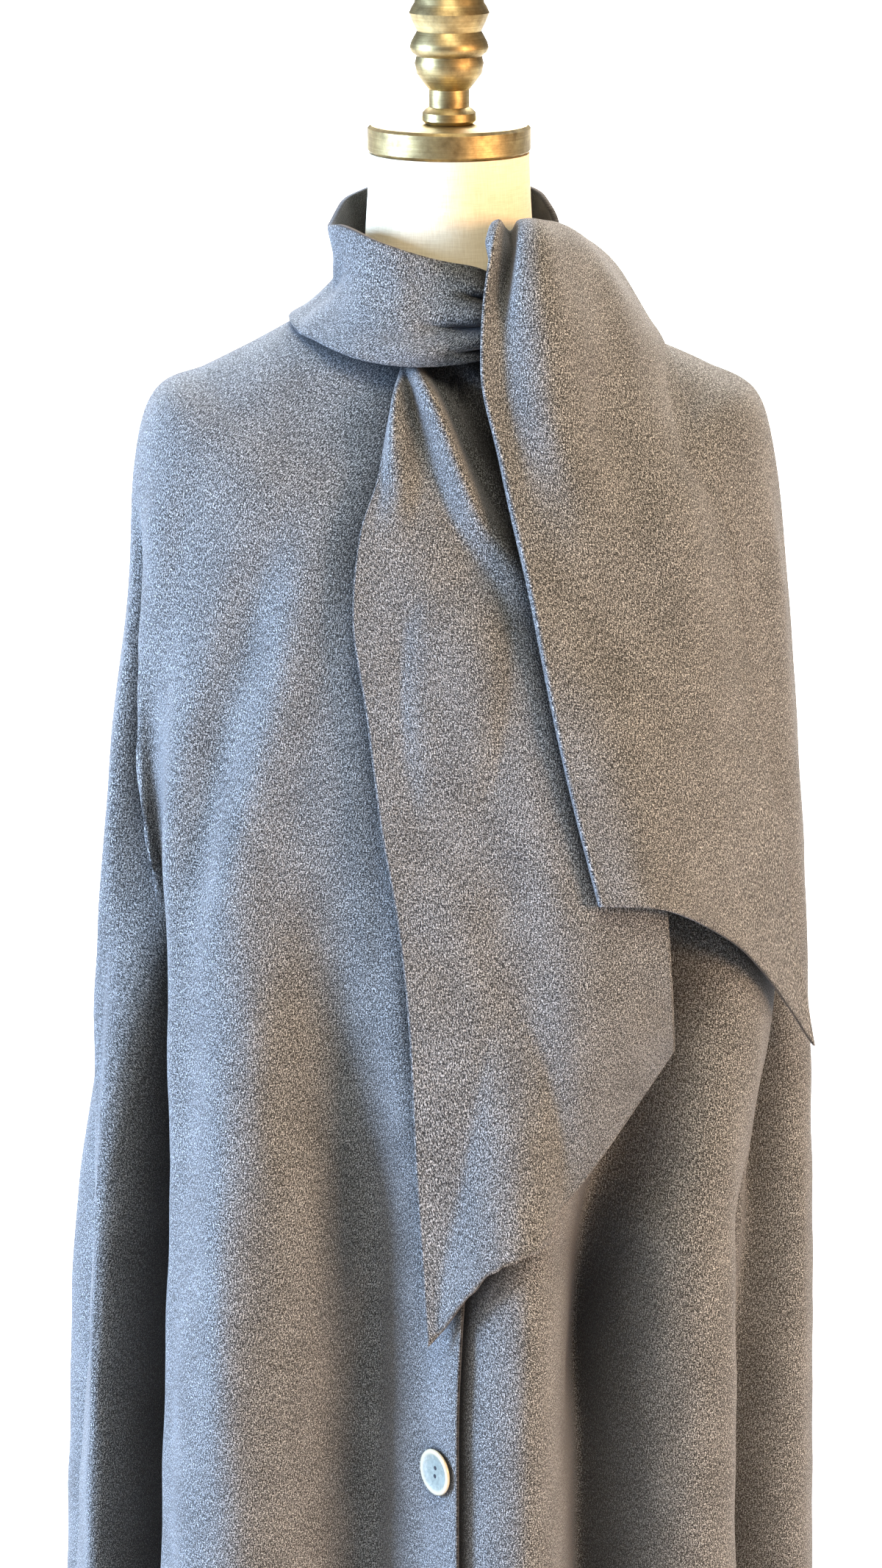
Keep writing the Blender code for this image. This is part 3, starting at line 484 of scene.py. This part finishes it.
def cape_row(place, degrees_list, lift=None):
    """One row of the cape's inner face: place counts the rows of CAPE_RINGS, and lift raises a panel."""
    ring = row_values(CAPE_RINGS, place)
    points = []
    for degrees in degrees_list:
        angle = math.radians(degrees)
        side, front = math.sin(angle), math.cos(angle)
        half_width = ring["right_x"] if side > 0 else ring["left_x"]
        depth, end_z = (ring["front_y"], ring["front_z"]) if front > 0 else (-ring["back_y"], ring["back_z"])
        z = ring["side_z"] + (end_z - ring["side_z"]) * front * front
        outwards, sideways = flute_shift(degrees, z)
        outwards += crease_height(degrees, z) + (lift(degrees, z) if lift else 0.0)
        forwards = crease_height(degrees, z, FORWARD_FOLDS)
        across = Vector((side / half_width, -front / abs(depth))).normalized()
        points.append(Vector((
            half_width * side + across.x * outwards - across.y * sideways,
            depth * front + across.y * outwards + across.x * sideways - forwards,
            z,
        )))
    return points


def edge_lift(z):
    """How far the lap's free edge stands off the left front: it opens towards the hem."""
    return LAP_EDGE_LIFT + (LAP_EDGE_LIFT_LOW - LAP_EDGE_LIFT) * smoothstep(LAP_OPENS_Z, LAP_OPEN_Z, z)


def lap_lift(degrees, z):
    """The right front rises over the left one towards its edge."""
    over_the_left = smoothstep(LAP_START_DEG, LAP_RISEN_DEG, degrees) * (CLOTH + LAP_GAP)
    return over_the_left + smoothstep(PLACKET_START_DEG, LAP_LIFTED_DEG, degrees) * edge_lift(z)


def grid_normals(grid):
    """The outward direction at each point of a grid: its rows run down, its columns anticlockwise."""
    rows, columns = len(grid), len(grid[0])
    normals = []
    for row in range(rows):
        line = []
        for column in range(columns):
            down = grid[min(rows - 1, row + 1)][column] - grid[max(0, row - 1)][column]
            across = grid[row][min(columns - 1, column + 1)] - grid[row][max(0, column - 1)]
            line.append(down.cross(across).normalized())
        normals.append(line)
    return normals


def moved_out(grid, distance):
    """The grid, moved outwards by the distance."""
    normals = grid_normals(grid)
    return [[point + normal * distance for point, normal in zip(*pair)] for pair in zip(grid, normals)]


def grid_surface(outer, inner=None):
    """A cloth's outer side, and its inner one if given, to be asked for the place nearest to a point."""
    rows, columns = len(outer), len(outer[0])
    points = [point for grid in (outer, inner or []) for line in grid for point in line]
    faces = []
    for row in range(rows - 1):
        for column in range(columns - 1):
            here = row * columns + column
            face = (here, here + columns, here + columns + 1, here + 1)
            faces.append(face)
            if inner:
                faces.append(tuple(rows * columns + corner for corner in reversed(face)))
    return BVHTree.FromPolygons(points, faces)


# The painted shade along the edges: full within half a millimetre of the edge, gone 4.5 mm in.
EDGE_FULL = 0.0005
EDGE_GONE = 0.0045
ALL_EDGES = ("top", "foot", "first", "last")


def cut_piece(name, middle, thickness, finish, rim_shade_finish, shaded_edges=ALL_EDGES):
    """A piece of cloth with its thickness, its middle on a grid. It carries two things for its material: the
    lay of the cut in metres, and how close each point is to an edge that takes painted shade. The thickness
    itself, seen at the piece's edges, takes the rim's finish, which is darker as painted shade."""
    rows, columns = len(middle), len(middle[0])
    mesh = bpy.data.meshes.new(name)
    faces = []
    for row in range(rows - 1):
        for column in range(columns - 1):
            here = row * columns + column
            faces.append((here, here + columns, here + columns + 1, here + 1))
    mesh.from_pydata([tuple(point) for line in middle for point in line], [], faces)
    lay, closeness = [], []
    half = columns // 2
    down_from_top = [0.0]
    for row in range(1, rows):
        down_from_top.append(down_from_top[-1] + (middle[row][half] - middle[row - 1][half]).length)
    for row in range(rows):
        along = [0.0]
        for column in range(1, columns):
            along.append(along[-1] + (middle[row][column] - middle[row][column - 1]).length)
        for column in range(columns):
            lay.append((along[column] - along[half], down_from_top[row]))
            gaps = {
                "top": down_from_top[row], "foot": down_from_top[-1] - down_from_top[row],
                "first": along[column], "last": along[-1] - along[column],
            }
            closeness.append(smoothstep(EDGE_GONE, EDGE_FULL, min([gaps[side] for side in shaded_edges] + [1.0])))
    layer = mesh.uv_layers.new(name="cut")
    for loop in mesh.loops:
        layer.data[loop.index].uv = lay[loop.vertex_index]
    attribute = mesh.attributes.new("edge", "FLOAT", "POINT")
    attribute.data.foreach_set("value", closeness)
    mesh.shade_smooth()
    mesh.materials.append(finish)
    mesh.materials.append(rim_shade_finish)
    piece = bpy.data.objects.new(name, mesh)
    bpy.context.scene.collection.objects.link(piece)
    solid = piece.modifiers.new("thickness", "SOLIDIFY")
    solid.thickness = thickness
    solid.offset = 0.0
    solid.material_offset_rim = 1
    return piece


def undulation(point, size, depth):
    """The slight unevenness of worn cloth: waves of this size, this deep."""
    return noise.noise(Vector(point) / size) * depth


CAPE_ROWS = 150
FRONT_COLUMNS = 110
BACK_COLUMNS = 200
# The columns of the right front crowd towards its lap's edge.
FRONT_CROWDING = 1.25
CAPE_WAVE_SIZE = 0.055
CAPE_WAVE_DEPTH = 0.0016
CALM_COLUMNS = 6


def cape_panel(degrees_list, lift=None):
    """The middle of one cut piece of the cape, from the neck seam to the hem, calm beside its seams."""
    inner = [cape_row(place, degrees_list, lift) for place in spread(0.0, len(CAPE_RINGS) - 1.0, CAPE_ROWS)]
    middle = moved_out(inner, CLOTH / 2)
    normals = grid_normals(middle)
    for row in range(len(middle)):
        for column in range(len(middle[0])):
            calm = min(1.0, column / CALM_COLUMNS, (len(middle[0]) - 1 - column) / CALM_COLUMNS)
            soft = undulation(middle[row][column], CAPE_WAVE_SIZE, CAPE_WAVE_DEPTH) * calm
            middle[row][column] = middle[row][column] + normals[row][column] * soft
    return middle


RIGHT_FRONT_DEGREES = [
    LAP_EDGE_DEG - (LAP_EDGE_DEG + SIDE_SEAM_DEG) * share ** FRONT_CROWDING
    for share in spread(1.0, 0.0, FRONT_COLUMNS)
]
right_middle = cape_panel(RIGHT_FRONT_DEGREES, lap_lift)
left_middle = cape_panel(spread(UNDERLAP_DEG, SIDE_SEAM_DEG, FRONT_COLUMNS))
back_middle = cape_panel(spread(SIDE_SEAM_DEG, 360 - SIDE_SEAM_DEG, BACK_COLUMNS))
for name, middle, flat, area in (
    ("cape_front_right", right_middle, (0.57, 1.18), 0.55),
    ("cape_front_left", left_middle, (0.56, 1.18), 0.53),
    ("cape_back", back_middle, (1.05, 1.14), 0.95),
):
    # The edges of each piece that take the painted shade along them.
    shaded_edges = ("foot", "last") if name == "cape_front_right" else ("foot",)
    piece = cut_piece(name, middle, CLOTH, wool, wool_rim_shade, shaded_edges)
    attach(piece, "root")
    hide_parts(name.replace("cape_", ""))


# The buttons: grey-green horn, turned with a raised rim and a dished face, drilled with two holes and sewn to
# the right front on a thread shank. One shows below the scarf; the others keep its spacing.
BUTTON_RADIUS = 0.0170
BUTTON_SIDES = 48
horn, tree, shader = new_finish("polished_grey_horn")
horn_place = add_node(tree, "ShaderNodeTexCoord").outputs["Object"]
# The horn's layers are about 4 mm wide and 17 mm long.
horn_space = add_node(tree, "ShaderNodeMapping", {"Scale": (260.0, 260.0, 60.0)}, {"Vector": horn_place})
layers = add_node(
    tree, "ShaderNodeTexNoise",
    {"Scale": 1.0, "Detail": 4.0, "Distortion": 1.2},
    {"Vector": horn_space.outputs[0]},
)
rim = add_node(tree, "ShaderNodeAttribute", {"attribute_name": "rim"})
horn_body = add_node(
    tree, "ShaderNodeMix",
    {"data_type": "RGBA", 6: linear("5F6963"), 7: linear("A9B3A8")},
    {0: layers.outputs["Fac"]},
)
horn_all = add_node(
    tree, "ShaderNodeMix",
    {"data_type": "RGBA", 7: linear("C4BC9E")},
    {0: rim.outputs["Fac"], 6: horn_body.outputs[2]},
)
tree.links.new(horn_all.outputs[2], shader.inputs["Base Color"])
shader.inputs["Roughness"].default_value = 0.22
shader.inputs["IOR"].default_value = 1.54
shader.inputs["Coat Weight"].default_value = 0.35
thread, tree, shader = new_finish("dark_sewing_thread")
shader.inputs["Base Color"].default_value = linear("26272A")
shader.inputs["Roughness"].default_value = 0.8
# Radius and height of the turned face, in shares of the button's radius and in millimetres, and how much of
# the rim's paler tint it has.
ButtonRing = namedtuple("ButtonRing", "name radius_share height_mm tint")
BUTTON_RINGS = [
    ButtonRing("under_middle", 0.20, 0.00, 0.0),
    ButtonRing("under_edge", 0.86, 0.10, 0.2),
    ButtonRing("side_low", 0.97, 0.80, 0.8),
    ButtonRing("side_high", 1.00, 1.80, 1.0),
    ButtonRing("rim_outer", 0.97, 2.90, 1.0),
    ButtonRing("rim_top", 0.90, 3.40, 1.0),
    ButtonRing("rim_inner", 0.82, 3.10, 0.7),
    ButtonRing("dish_wall", 0.74, 2.30, 0.1),
    ButtonRing("dish_floor", 0.52, 1.75, 0.0),
    ButtonRing("dish_middle", 0.16, 1.60, 0.0),
]


def button_mesh(name, sides=BUTTON_SIDES):
    """A turned button about its own upright axis, its underside at nought."""
    mesh = bpy.data.meshes.new(name)
    points, tints = [], []
    for ring in BUTTON_RINGS:
        for step in range(sides):
            turn = math.tau * step / sides
            radius = BUTTON_RADIUS * ring.radius_share
            points.append((radius * math.cos(turn), radius * math.sin(turn), ring.height_mm / 1000))
            tints.append(ring.tint)
    faces = [tuple(range(sides - 1, -1, -1)), tuple(range(len(points) - sides, len(points)))]
    for level in range(len(BUTTON_RINGS) - 1):
        for step in range(sides):
            after = (step + 1) % sides
            base, top = level * sides, (level + 1) * sides
            faces.append((base + step, base + after, top + after, top + step))
    mesh.from_pydata(points, [], faces)
    mesh.attributes.new("rim", "FLOAT", "POINT").data.foreach_set("value", tints)
    mesh.shade_smooth()
    mesh.materials.append(horn)
    return mesh


PEG_SIDES = 16
PEG_RIM_DEG = 40


def peg(name, radius, low, high, place, finish, sides=PEG_SIDES):
    """A short upright round thing, such as a hole's dark thread or a shank, in the button's own frame."""
    mesh = bpy.data.meshes.new(name)
    points = []
    for height in (low, high):
        for step in range(sides):
            turn = math.tau * step / sides
            points.append((place[0] + radius * math.cos(turn), place[1] + radius * math.sin(turn), height))
    faces = [tuple(range(sides - 1, -1, -1)), tuple(range(sides, 2 * sides))]
    faces += [(step, (step + 1) % sides, sides + (step + 1) % sides, sides + step) for step in range(sides)]
    mesh.from_pydata(points, [], faces)
    mesh.shade_smooth()
    mesh.set_sharp_from_angle(angle=math.radians(PEG_RIM_DEG))
    mesh.materials.append(finish)
    made = bpy.data.objects.new(name, mesh)
    bpy.context.scene.collection.objects.link(made)
    return made


front_cloth = grid_surface(moved_out(right_middle, CLOTH / 2))
BUTTON_HEIGHTS = [1.167, 0.982, 0.797, 0.612, 0.427]
# A button lies on the highest places of the cloth round it, at least on its shank's length.
SHANK_LENGTH = 0.0016
BUTTON_GAP = 0.0004
PROBES = 12
PROBE_REACH = 0.6
for number, height in enumerate(BUTTON_HEIGHTS, start=1):
    node = f"button_{number}"
    low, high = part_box(node)
    seat_middle = (Vector(low) + Vector(high)) / 2
    spot, _, _, _ = front_cloth.find_nearest(seat_middle)
    round_it = []
    for step in range(PROBES):
        turn = math.tau * step / PROBES
        lean = Vector((math.cos(turn) * PROBE_REACH, -PROBE_REACH * math.cos(turn), math.sin(turn)))
        lean *= BUTTON_RADIUS
        round_it.append(front_cloth.find_nearest(spot + lean)[0])
    facing = Vector((0, 0, 0))
    for here, after in zip(round_it, round_it[1:] + round_it[:1]):
        facing += (here - spot).cross(after - spot)
    if facing.dot(seat_middle - spot) < 0:
        facing.negate()
    facing.normalize()
    stand = max(SHANK_LENGTH, max((point - spot).dot(facing) for point in round_it) + BUTTON_GAP)
    placed = Matrix.Translation(spot + facing * stand) @ facing.to_track_quat("Z", "Y").to_matrix().to_4x4()
    disc = bpy.data.objects.new(f"horn_{node}", button_mesh(f"horn_{node}"))
    bpy.context.scene.collection.objects.link(disc)
    disc.matrix_world = placed
    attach(disc, "root")
    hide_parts(node)
    # Each: name, radius, lower end, upper end and place across. The holes show the dark thread in them.
    for suffix, radius, base, top, across in (
        ("shank", 0.0026, -stand - 0.0005, 0.0001, 0.0),
        ("hole_upper", 0.0016, 0.0009, 0.00172, 0.0032),
        ("hole_lower", 0.0016, 0.0009, 0.00172, -0.0032),
    ):
        part = peg(f"{node}_{suffix}", radius, base, top, (0.0, across), thread)
        part.matrix_world = placed
        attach(part, "root")


# The scarf collar, where it goes round the neck: one long piece of the same flannel, folded double and sewn
# into the neck seam. It stands up round the neck, and its creases run together at the knot in front.
WRAP_CLOTH = 0.0044
WRAP_ROWS = 40
WRAP_COLUMNS = 320
WRAP_WAVE_SIZE = 0.022
WRAP_WAVE_DEPTH = 0.0016
LAYER_GAP = 0.0007
# Each row is one upright section of the scarf where it goes round the neck, from its end tucked in beside
# the knot, round the back, to the knot. Radii run from its lower edge, over its belly, to its top edge.
WrapSection = namedtuple("WrapSection", "name deg low_r low_z belly_r waist_r top_r top_z")
WRAP_SECTIONS = [
    WrapSection("tucked_end", -322, 0.098, 1.402, 0.099, 0.093, 0.086, 1.438),
    WrapSection("left_of_front", -305, 0.106, 1.400, 0.100, 0.091, 0.084, 1.444),
    WrapSection("left_side", -270, 0.114, 1.404, 0.092, 0.082, 0.078, 1.456),
    WrapSection("left_nape", -235, 0.106, 1.406, 0.090, 0.082, 0.078, 1.486),
    WrapSection("nape", -180, 0.092, 1.408, 0.084, 0.078, 0.075, 1.494),
    WrapSection("right_nape", -125, 0.104, 1.404, 0.086, 0.081, 0.080, 1.486),
    WrapSection("right_side", -88, 0.112, 1.399, 0.083, 0.081, 0.083, 1.470),
    WrapSection("right_collarbone", -58, 0.110, 1.396, 0.092, 0.086, 0.087, 1.475),
    WrapSection("right_of_front", -28, 0.109, 1.388, 0.104, 0.094, 0.088, 1.466),
    WrapSection("centre_front", -4, 0.109, 1.388, 0.108, 0.098, 0.085, 1.456),
    WrapSection("by_the_knot", 14, 0.108, 1.393, 0.108, 0.099, 0.083, 1.450),
    WrapSection("knot", 27, 0.106, 1.402, 0.105, 0.098, 0.085, 1.440),
]
# Each row is one fold: it runs over the cloth on a line between two places, given as shares of its length and
# of its width, and fades in and out unless it starts or ends at the cloth's own end.
Fold = namedtuple("Fold", "name start_along start_across end_along end_across half_width height")
WRAP_FOLDS = [
    Fold("upper_crease", 1.00, 0.40, 0.84, 0.30, 0.05, -0.0080),
    Fold("lower_crease", 1.00, 0.66, 0.76, 0.62, 0.05, -0.0085),
    Fold("low_ridge", 1.00, 0.78, 0.66, 0.90, 0.07, 0.0045),
    Fold("low_crease", 1.00, 0.90, 0.80, 0.84, 0.04, -0.0070),
    Fold("middle_ridge", 1.00, 0.53, 0.80, 0.46, 0.06, 0.0040),
    Fold("top_ridge", 1.00, 0.22, 0.74, 0.10, 0.08, 0.0030),
    Fold("right_dimple", 0.66, 0.40, 0.56, 0.66, 0.12, -0.0040),
    Fold("side_crease", 0.60, 0.86, 0.48, 0.52, 0.08, -0.0035),
    Fold("nape_crease", 0.50, 0.70, 0.30, 0.74, 0.10, -0.0025),
    Fold("left_crease", 0.24, 0.60, 0.05, 0.48, 0.09, -0.0030),
]


FOLD_FADES_IN = 0.4
FOLD_FADES_OUT = 0.5


def fold_height(folds, along, across):
    """How far the folds move a point of the cloth."""
    total = 0.0
    for fold in folds:
        travel = (along - fold.start_along) / (fold.end_along - fold.start_along)
        if not 0 <= travel <= 1:
            continue
        middle = fold.start_across + (fold.end_across - fold.start_across) * travel
        fade = 1.0 if fold.end_along == 1.0 else smoothstep(1.0, FOLD_FADES_OUT, travel)
        fade *= 1.0 if fold.start_along in (0.0, 1.0) else smoothstep(0.0, FOLD_FADES_IN, travel)
        total += fold.height * fade * bump((across - middle) / fold.half_width)
    return total


STAND_OFF_ROUNDS = 4
STRAIGHT_IN = 0.3


def stood_off(point, covers, gap):
    """The point, moved out of whatever it would lie in or within the gap of."""
    for _ in range(STAND_OFF_ROUNDS):
        for cover in covers:
            spot, normal, _, distance = cover.find_nearest(point)
            away = point - spot
            height = away.dot(normal)
            straight_in = height < 0 and (away - normal * height).length < STRAIGHT_IN * distance
            if straight_in or distance < 1e-6:
                point = spot + normal * gap
            elif distance < gap:
                point = spot + away * (gap / distance)
    return point


BUTTON_CLEARANCE = 0.0085
CLEARANCE_STARTS = 0.12
CLEARANCE_FULL = 0.04
COVER_RISES_DEG = (-15.0, -4.0)
COVER_FALLS_DEG = (LAP_EDGE_DEG + 1.0, 20.0)
COVER_ROWS = 70
COVER_COLUMNS = 181


def cover_lift(degrees, z):
    """What lies on the fronts clears the lap and its buttons, and comes down again beyond the edge."""
    first = BUTTON_HEIGHTS[0]
    button = BUTTON_CLEARANCE * smoothstep(first + CLEARANCE_STARTS, first + CLEARANCE_FULL, z)
    height = CLOTH + LAP_GAP + edge_lift(z) + button
    return height * smoothstep(*COVER_RISES_DEG, degrees) * (1 - smoothstep(*COVER_FALLS_DEG, degrees))


cover_degrees = spread(-180.0, 180.0, COVER_COLUMNS)
cover_places = spread(0.0, len(CAPE_RINGS) - 1.0, COVER_ROWS)
cover_rows = [cape_row(place, cover_degrees, cover_lift) for place in cover_places]
covers = [grid_surface(moved_out(cover_rows, CLOTH))]
covers += [grid_surface(moved_out(middle, CLOTH / 2)) for middle in (right_middle, left_middle, back_middle)]

wrap_middle = []
for share in spread(1.0, 0.0, WRAP_ROWS):
    line = []
    for along in spread(0.0, 1.0, WRAP_COLUMNS):
        section = row_values(WRAP_SECTIONS, along * (len(WRAP_SECTIONS) - 1))
        radii = [section["low_r"], section["belly_r"], section["waist_r"], section["top_r"]]
        reach = spline(radii, share * 3) + fold_height(WRAP_FOLDS, along, 1 - share)
        height = section["low_z"] + (section["top_z"] - section["low_z"]) * share
        angle = math.radians(section["deg"])
        point = Vector((reach * math.sin(angle), -reach * math.cos(angle), height))
        reach += undulation(point, WRAP_WAVE_SIZE, WRAP_WAVE_DEPTH)
        point = Vector((reach * math.sin(angle), -reach * math.cos(angle), height))
        line.append(stood_off(point, covers, WRAP_CLOTH / 2 + LAYER_GAP))
    wrap_middle.append(line)
wrap = cut_piece("scarf_collar_wrap", wrap_middle, WRAP_CLOTH, wool, wool_rim_shade, ("top", "foot"))
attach(wrap, "root")
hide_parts("scarf_wrap")
covers.append(grid_surface(moved_out(wrap_middle, WRAP_CLOTH / 2), moved_out(wrap_middle, -WRAP_CLOTH / 2)))


# The scarf's two ends: 0.20 m wide, cut off on a slant. The lower one comes out under the wrap and hangs down
# the centre front. The upper one comes up through the loop, curls over, and falls over the left shoulder.
UNDER_END_GAP = 0.0018
OVER_END_GAP = 0.0028
# Each row is one section of a scarf end, from the knot down: points (x, y, z) on its left edge, at the
# first and the second third of its width, and on its right edge, all as seen from the front.
EndSection = namedtuple("EndSection", "name left first second right")
OVER_SECTIONS = [
    EndSection("inside_loop", (0.030, -0.064, 1.440), (0.049, -0.054, 1.440),
               (0.063, -0.038, 1.440), (0.072, -0.016, 1.440)),
    EndSection("rising", (0.031, -0.070, 1.466), (0.052, -0.060, 1.468),
               (0.070, -0.040, 1.466), (0.082, -0.012, 1.460)),
    EndSection("crest", (0.033, -0.084, 1.480), (0.056, -0.070, 1.481),
               (0.079, -0.042, 1.474), (0.097, -0.002, 1.458)),
    EndSection("over_the_top", (0.030, -0.104, 1.466), (0.062, -0.100, 1.474),
               (0.095, -0.058, 1.462), (0.120, 0.008, 1.437)),
    EndSection("off_the_neck", (0.026, -0.119, 1.436), (0.064, -0.122, 1.444),
               (0.112, -0.074, 1.432), (0.142, 0.002, 1.404)),
    EndSection("on_the_shoulder", (0.024, -0.126, 1.406), (0.068, -0.132, 1.408),
               (0.122, -0.088, 1.400), (0.152, -0.016, 1.388)),
    EndSection("collarbone", (0.025, -0.132, 1.374), (0.070, -0.138, 1.370),
               (0.124, -0.104, 1.362), (0.160, -0.048, 1.360)),
    EndSection("upper_breast", (0.032, -0.144, 1.342), (0.078, -0.146, 1.334),
               (0.130, -0.120, 1.326), (0.172, -0.075, 1.330)),
    EndSection("breast", (0.043, -0.166, 1.299), (0.090, -0.158, 1.290),
               (0.143, -0.136, 1.284), (0.190, -0.092, 1.284)),
    EndSection("under_arm", (0.059, -0.186, 1.234), (0.106, -0.168, 1.224),
               (0.157, -0.146, 1.216), (0.203, -0.104, 1.212)),
    EndSection("ribs", (0.075, -0.198, 1.151), (0.123, -0.192, 1.142),
               (0.174, -0.160, 1.136), (0.219, -0.110, 1.132)),
    EndSection("waist", (0.090, -0.206, 1.088), (0.138, -0.200, 1.076),
               (0.190, -0.160, 1.060), (0.238, -0.106, 1.036)),
    EndSection("cut_edge", (0.105, -0.212, 1.032), (0.155, -0.202, 1.024),
               (0.212, -0.152, 0.974), (0.268, -0.092, 0.882)),
]
UNDER_SECTIONS = [
    EndSection("inside_wrap", (-0.030, -0.088, 1.402), (-0.012, -0.092, 1.403),
               (0.006, -0.092, 1.404), (0.024, -0.088, 1.405)),
    EndSection("under_wrap", (-0.034, -0.095, 1.383), (-0.014, -0.099, 1.383),
               (0.008, -0.099, 1.384), (0.030, -0.096, 1.385)),
    EndSection("fanning", (-0.040, -0.110, 1.359), (-0.014, -0.117, 1.357),
               (0.014, -0.112, 1.357), (0.044, -0.108, 1.357)),
    EndSection("collarbone", (-0.050, -0.135, 1.315), (-0.014, -0.139, 1.311),
               (0.024, -0.134, 1.310), (0.064, -0.130, 1.310)),
    EndSection("crease", (-0.062, -0.150, 1.279), (-0.020, -0.154, 1.272),
               (0.030, -0.150, 1.270), (0.084, -0.146, 1.270)),
    EndSection("breast", (-0.067, -0.164, 1.222), (-0.012, -0.168, 1.214),
               (0.048, -0.166, 1.212), (0.108, -0.160, 1.212)),
    EndSection("under_breast", (-0.058, -0.175, 1.160), (0.004, -0.179, 1.152),
               (0.066, -0.177, 1.150), (0.128, -0.168, 1.150)),
    EndSection("ribs", (-0.048, -0.189, 1.082), (0.014, -0.192, 1.076),
               (0.078, -0.190, 1.076), (0.142, -0.180, 1.080)),
    EndSection("waist", (-0.037, -0.200, 1.018), (0.024, -0.202, 1.016),
               (0.088, -0.201, 1.016), (0.150, -0.190, 1.024)),
    EndSection("high_hip", (-0.029, -0.210, 0.944), (0.032, -0.212, 0.946),
               (0.094, -0.211, 0.958), (0.154, -0.198, 0.978)),
    EndSection("hip", (-0.024, -0.225, 0.840), (0.036, -0.225, 0.866),
               (0.096, -0.220, 0.902), (0.156, -0.203, 0.948)),
    EndSection("cut_edge", (-0.016, -0.240, 0.712), (0.044, -0.237, 0.778),
               (0.094, -0.230, 0.836), (0.157, -0.208, 0.925)),
]
UNDER_FOLDS = [
    Fold("edge_pleat", 0.06, 0.04, 0.38, 0.22, 0.06, 0.0080),
    Fold("slanting_ridge", 0.03, 0.10, 0.46, 0.84, 0.070, 0.0190),
    Fold("slanting_hollow", 0.03, 0.44, 0.34, 1.00, 0.12, -0.0110),
    Fold("side_pleat", 0.10, 0.02, 0.30, 0.10, 0.04, 0.0050),
    Fold("long_ridge", 0.34, 0.58, 0.86, 0.72, 0.24, 0.0080),
    Fold("low_hollow", 0.50, 0.40, 1.00, 0.46, 0.10, -0.0030),
]
OVER_FOLDS = [
    Fold("turned_edge", 0.20, 0.00, 0.72, 0.00, 0.07, 0.0100),
    Fold("edge_lip", 0.10, 0.02, 0.40, 0.00, 0.045, 0.0060),
    Fold("edge_slit", 0.08, 0.15, 0.42, 0.11, 0.045, -0.0120),
    Fold("long_ridge", 0.10, 0.28, 0.80, 0.36, 0.11, 0.0090),
    Fold("shoulder_crease", 0.24, 0.62, 0.60, 0.54, 0.07, -0.0040),
    Fold("arm_ridge", 0.34, 0.82, 0.90, 0.74, 0.10, 0.0050),
]
END_ROWS = 150
END_COLUMNS = 56
END_WAVE_SIZE = 0.040
END_WAVE_DEPTH = 0.0014
# The upper end's left edge rolls under where it comes over the loop: this much cloth, wound this far. Lower
# down it opens out to a plain turned edge. The pairs are shares of the end's length.
ROLL_COLUMNS = 14
ROLL_CLOTH = 0.026
ROLL_TURNS = 0.80
ROLL_TIGHTENS = 0.35
ROLL_STARTS = (0.0, 0.06)
ROLL_UNWINDS = (0.25, 0.11)
ROLL_NARROWS = (0.30, 0.13)
TURNED_EDGE = 0.0012
TURNED_EDGE_ANGLE = 0.12


def rolled_edge(line, normals, along):
    """The cloth beyond a row's first point, wound under itself near the top and opening out below."""
    wound = ROLL_TURNS * math.tau * smoothstep(*ROLL_UNWINDS, along) + TURNED_EDGE_ANGLE
    leftwards = (line[0] - line[2]).normalized()
    strip = ROLL_CLOTH * smoothstep(*ROLL_NARROWS, along) * smoothstep(*ROLL_STARTS, along) + TURNED_EDGE
    radius = strip / wound
    added = []
    for step in range(ROLL_COLUMNS, 0, -1):
        share = step / ROLL_COLUMNS
        turn = wound * share
        tighter = radius * (1 - ROLL_TIGHTENS * share)
        inwards = normals[0] * (radius - tighter * math.cos(turn))
        added.append(line[0] + leftwards * tighter * math.sin(turn) - inwards)
    return added


def end_middle(sections, folds, gap, rolled=False):
    """The middle of a scarf end's cloth, its knot end first."""
    columns = [[Vector(getattr(section, name)) for section in sections] for name in sections[0]._fields[1:]]
    laid = []
    for along in spread(0.0, 1.0, END_ROWS):
        across_points = [spline(column, along * (len(sections) - 1)) for column in columns]
        line = [spline(across_points, across * 3) for across in spread(0.0, 1.0, END_COLUMNS)]
        laid.append([stood_off(point, covers, CLOTH / 2 + gap) for point in line])
    normals = grid_normals(laid)
    raised = []
    for row, along in enumerate(spread(0.0, 1.0, END_ROWS)):
        line = []
        for column, across in enumerate(spread(0.0, 1.0, END_COLUMNS)):
            height = fold_height(folds, along, across)
            height += undulation(laid[row][column], END_WAVE_SIZE, END_WAVE_DEPTH)
            line.append(laid[row][column] + normals[row][column] * height)
        raised.append((rolled_edge(line, normals[row], along) if rolled else []) + line)
    return raised


under_middle = end_middle(UNDER_SECTIONS, UNDER_FOLDS, UNDER_END_GAP)
# The lower end settles on the right front, by the shortest way, where it comes closest to it.
points = [point for line in under_middle for point in line]
nearest = min(points, key=lambda point: covers[1].find_nearest(point)[3])
spot, _, _, distance = covers[1].find_nearest(nearest)
settle = (spot - nearest) * (1 - (CLOTH / 2 + TOUCH_GAP * 2) / distance)
under_middle = [[point + settle for point in line] for line in under_middle]
covers.append(grid_surface(moved_out(under_middle, CLOTH / 2)))
over_middle = end_middle(OVER_SECTIONS, OVER_FOLDS, OVER_END_GAP, rolled=True)
for name, middle, node, flat, rests in (
    ("scarf_collar_lower_end", under_middle, "scarf_end_under", (0.20, 0.70),
     ["cape_front_right", "cape_front_left"]),
    ("scarf_collar_upper_end", over_middle, "scarf_end_over", (0.21, 0.64),
     ["cape_front_left", "scarf_collar_lower_end"]),
):
    piece = cut_piece(name, middle, CLOTH, wool, wool_rim_shade, ("foot", "first", "last"))
    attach(piece, "root")
    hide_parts(node)
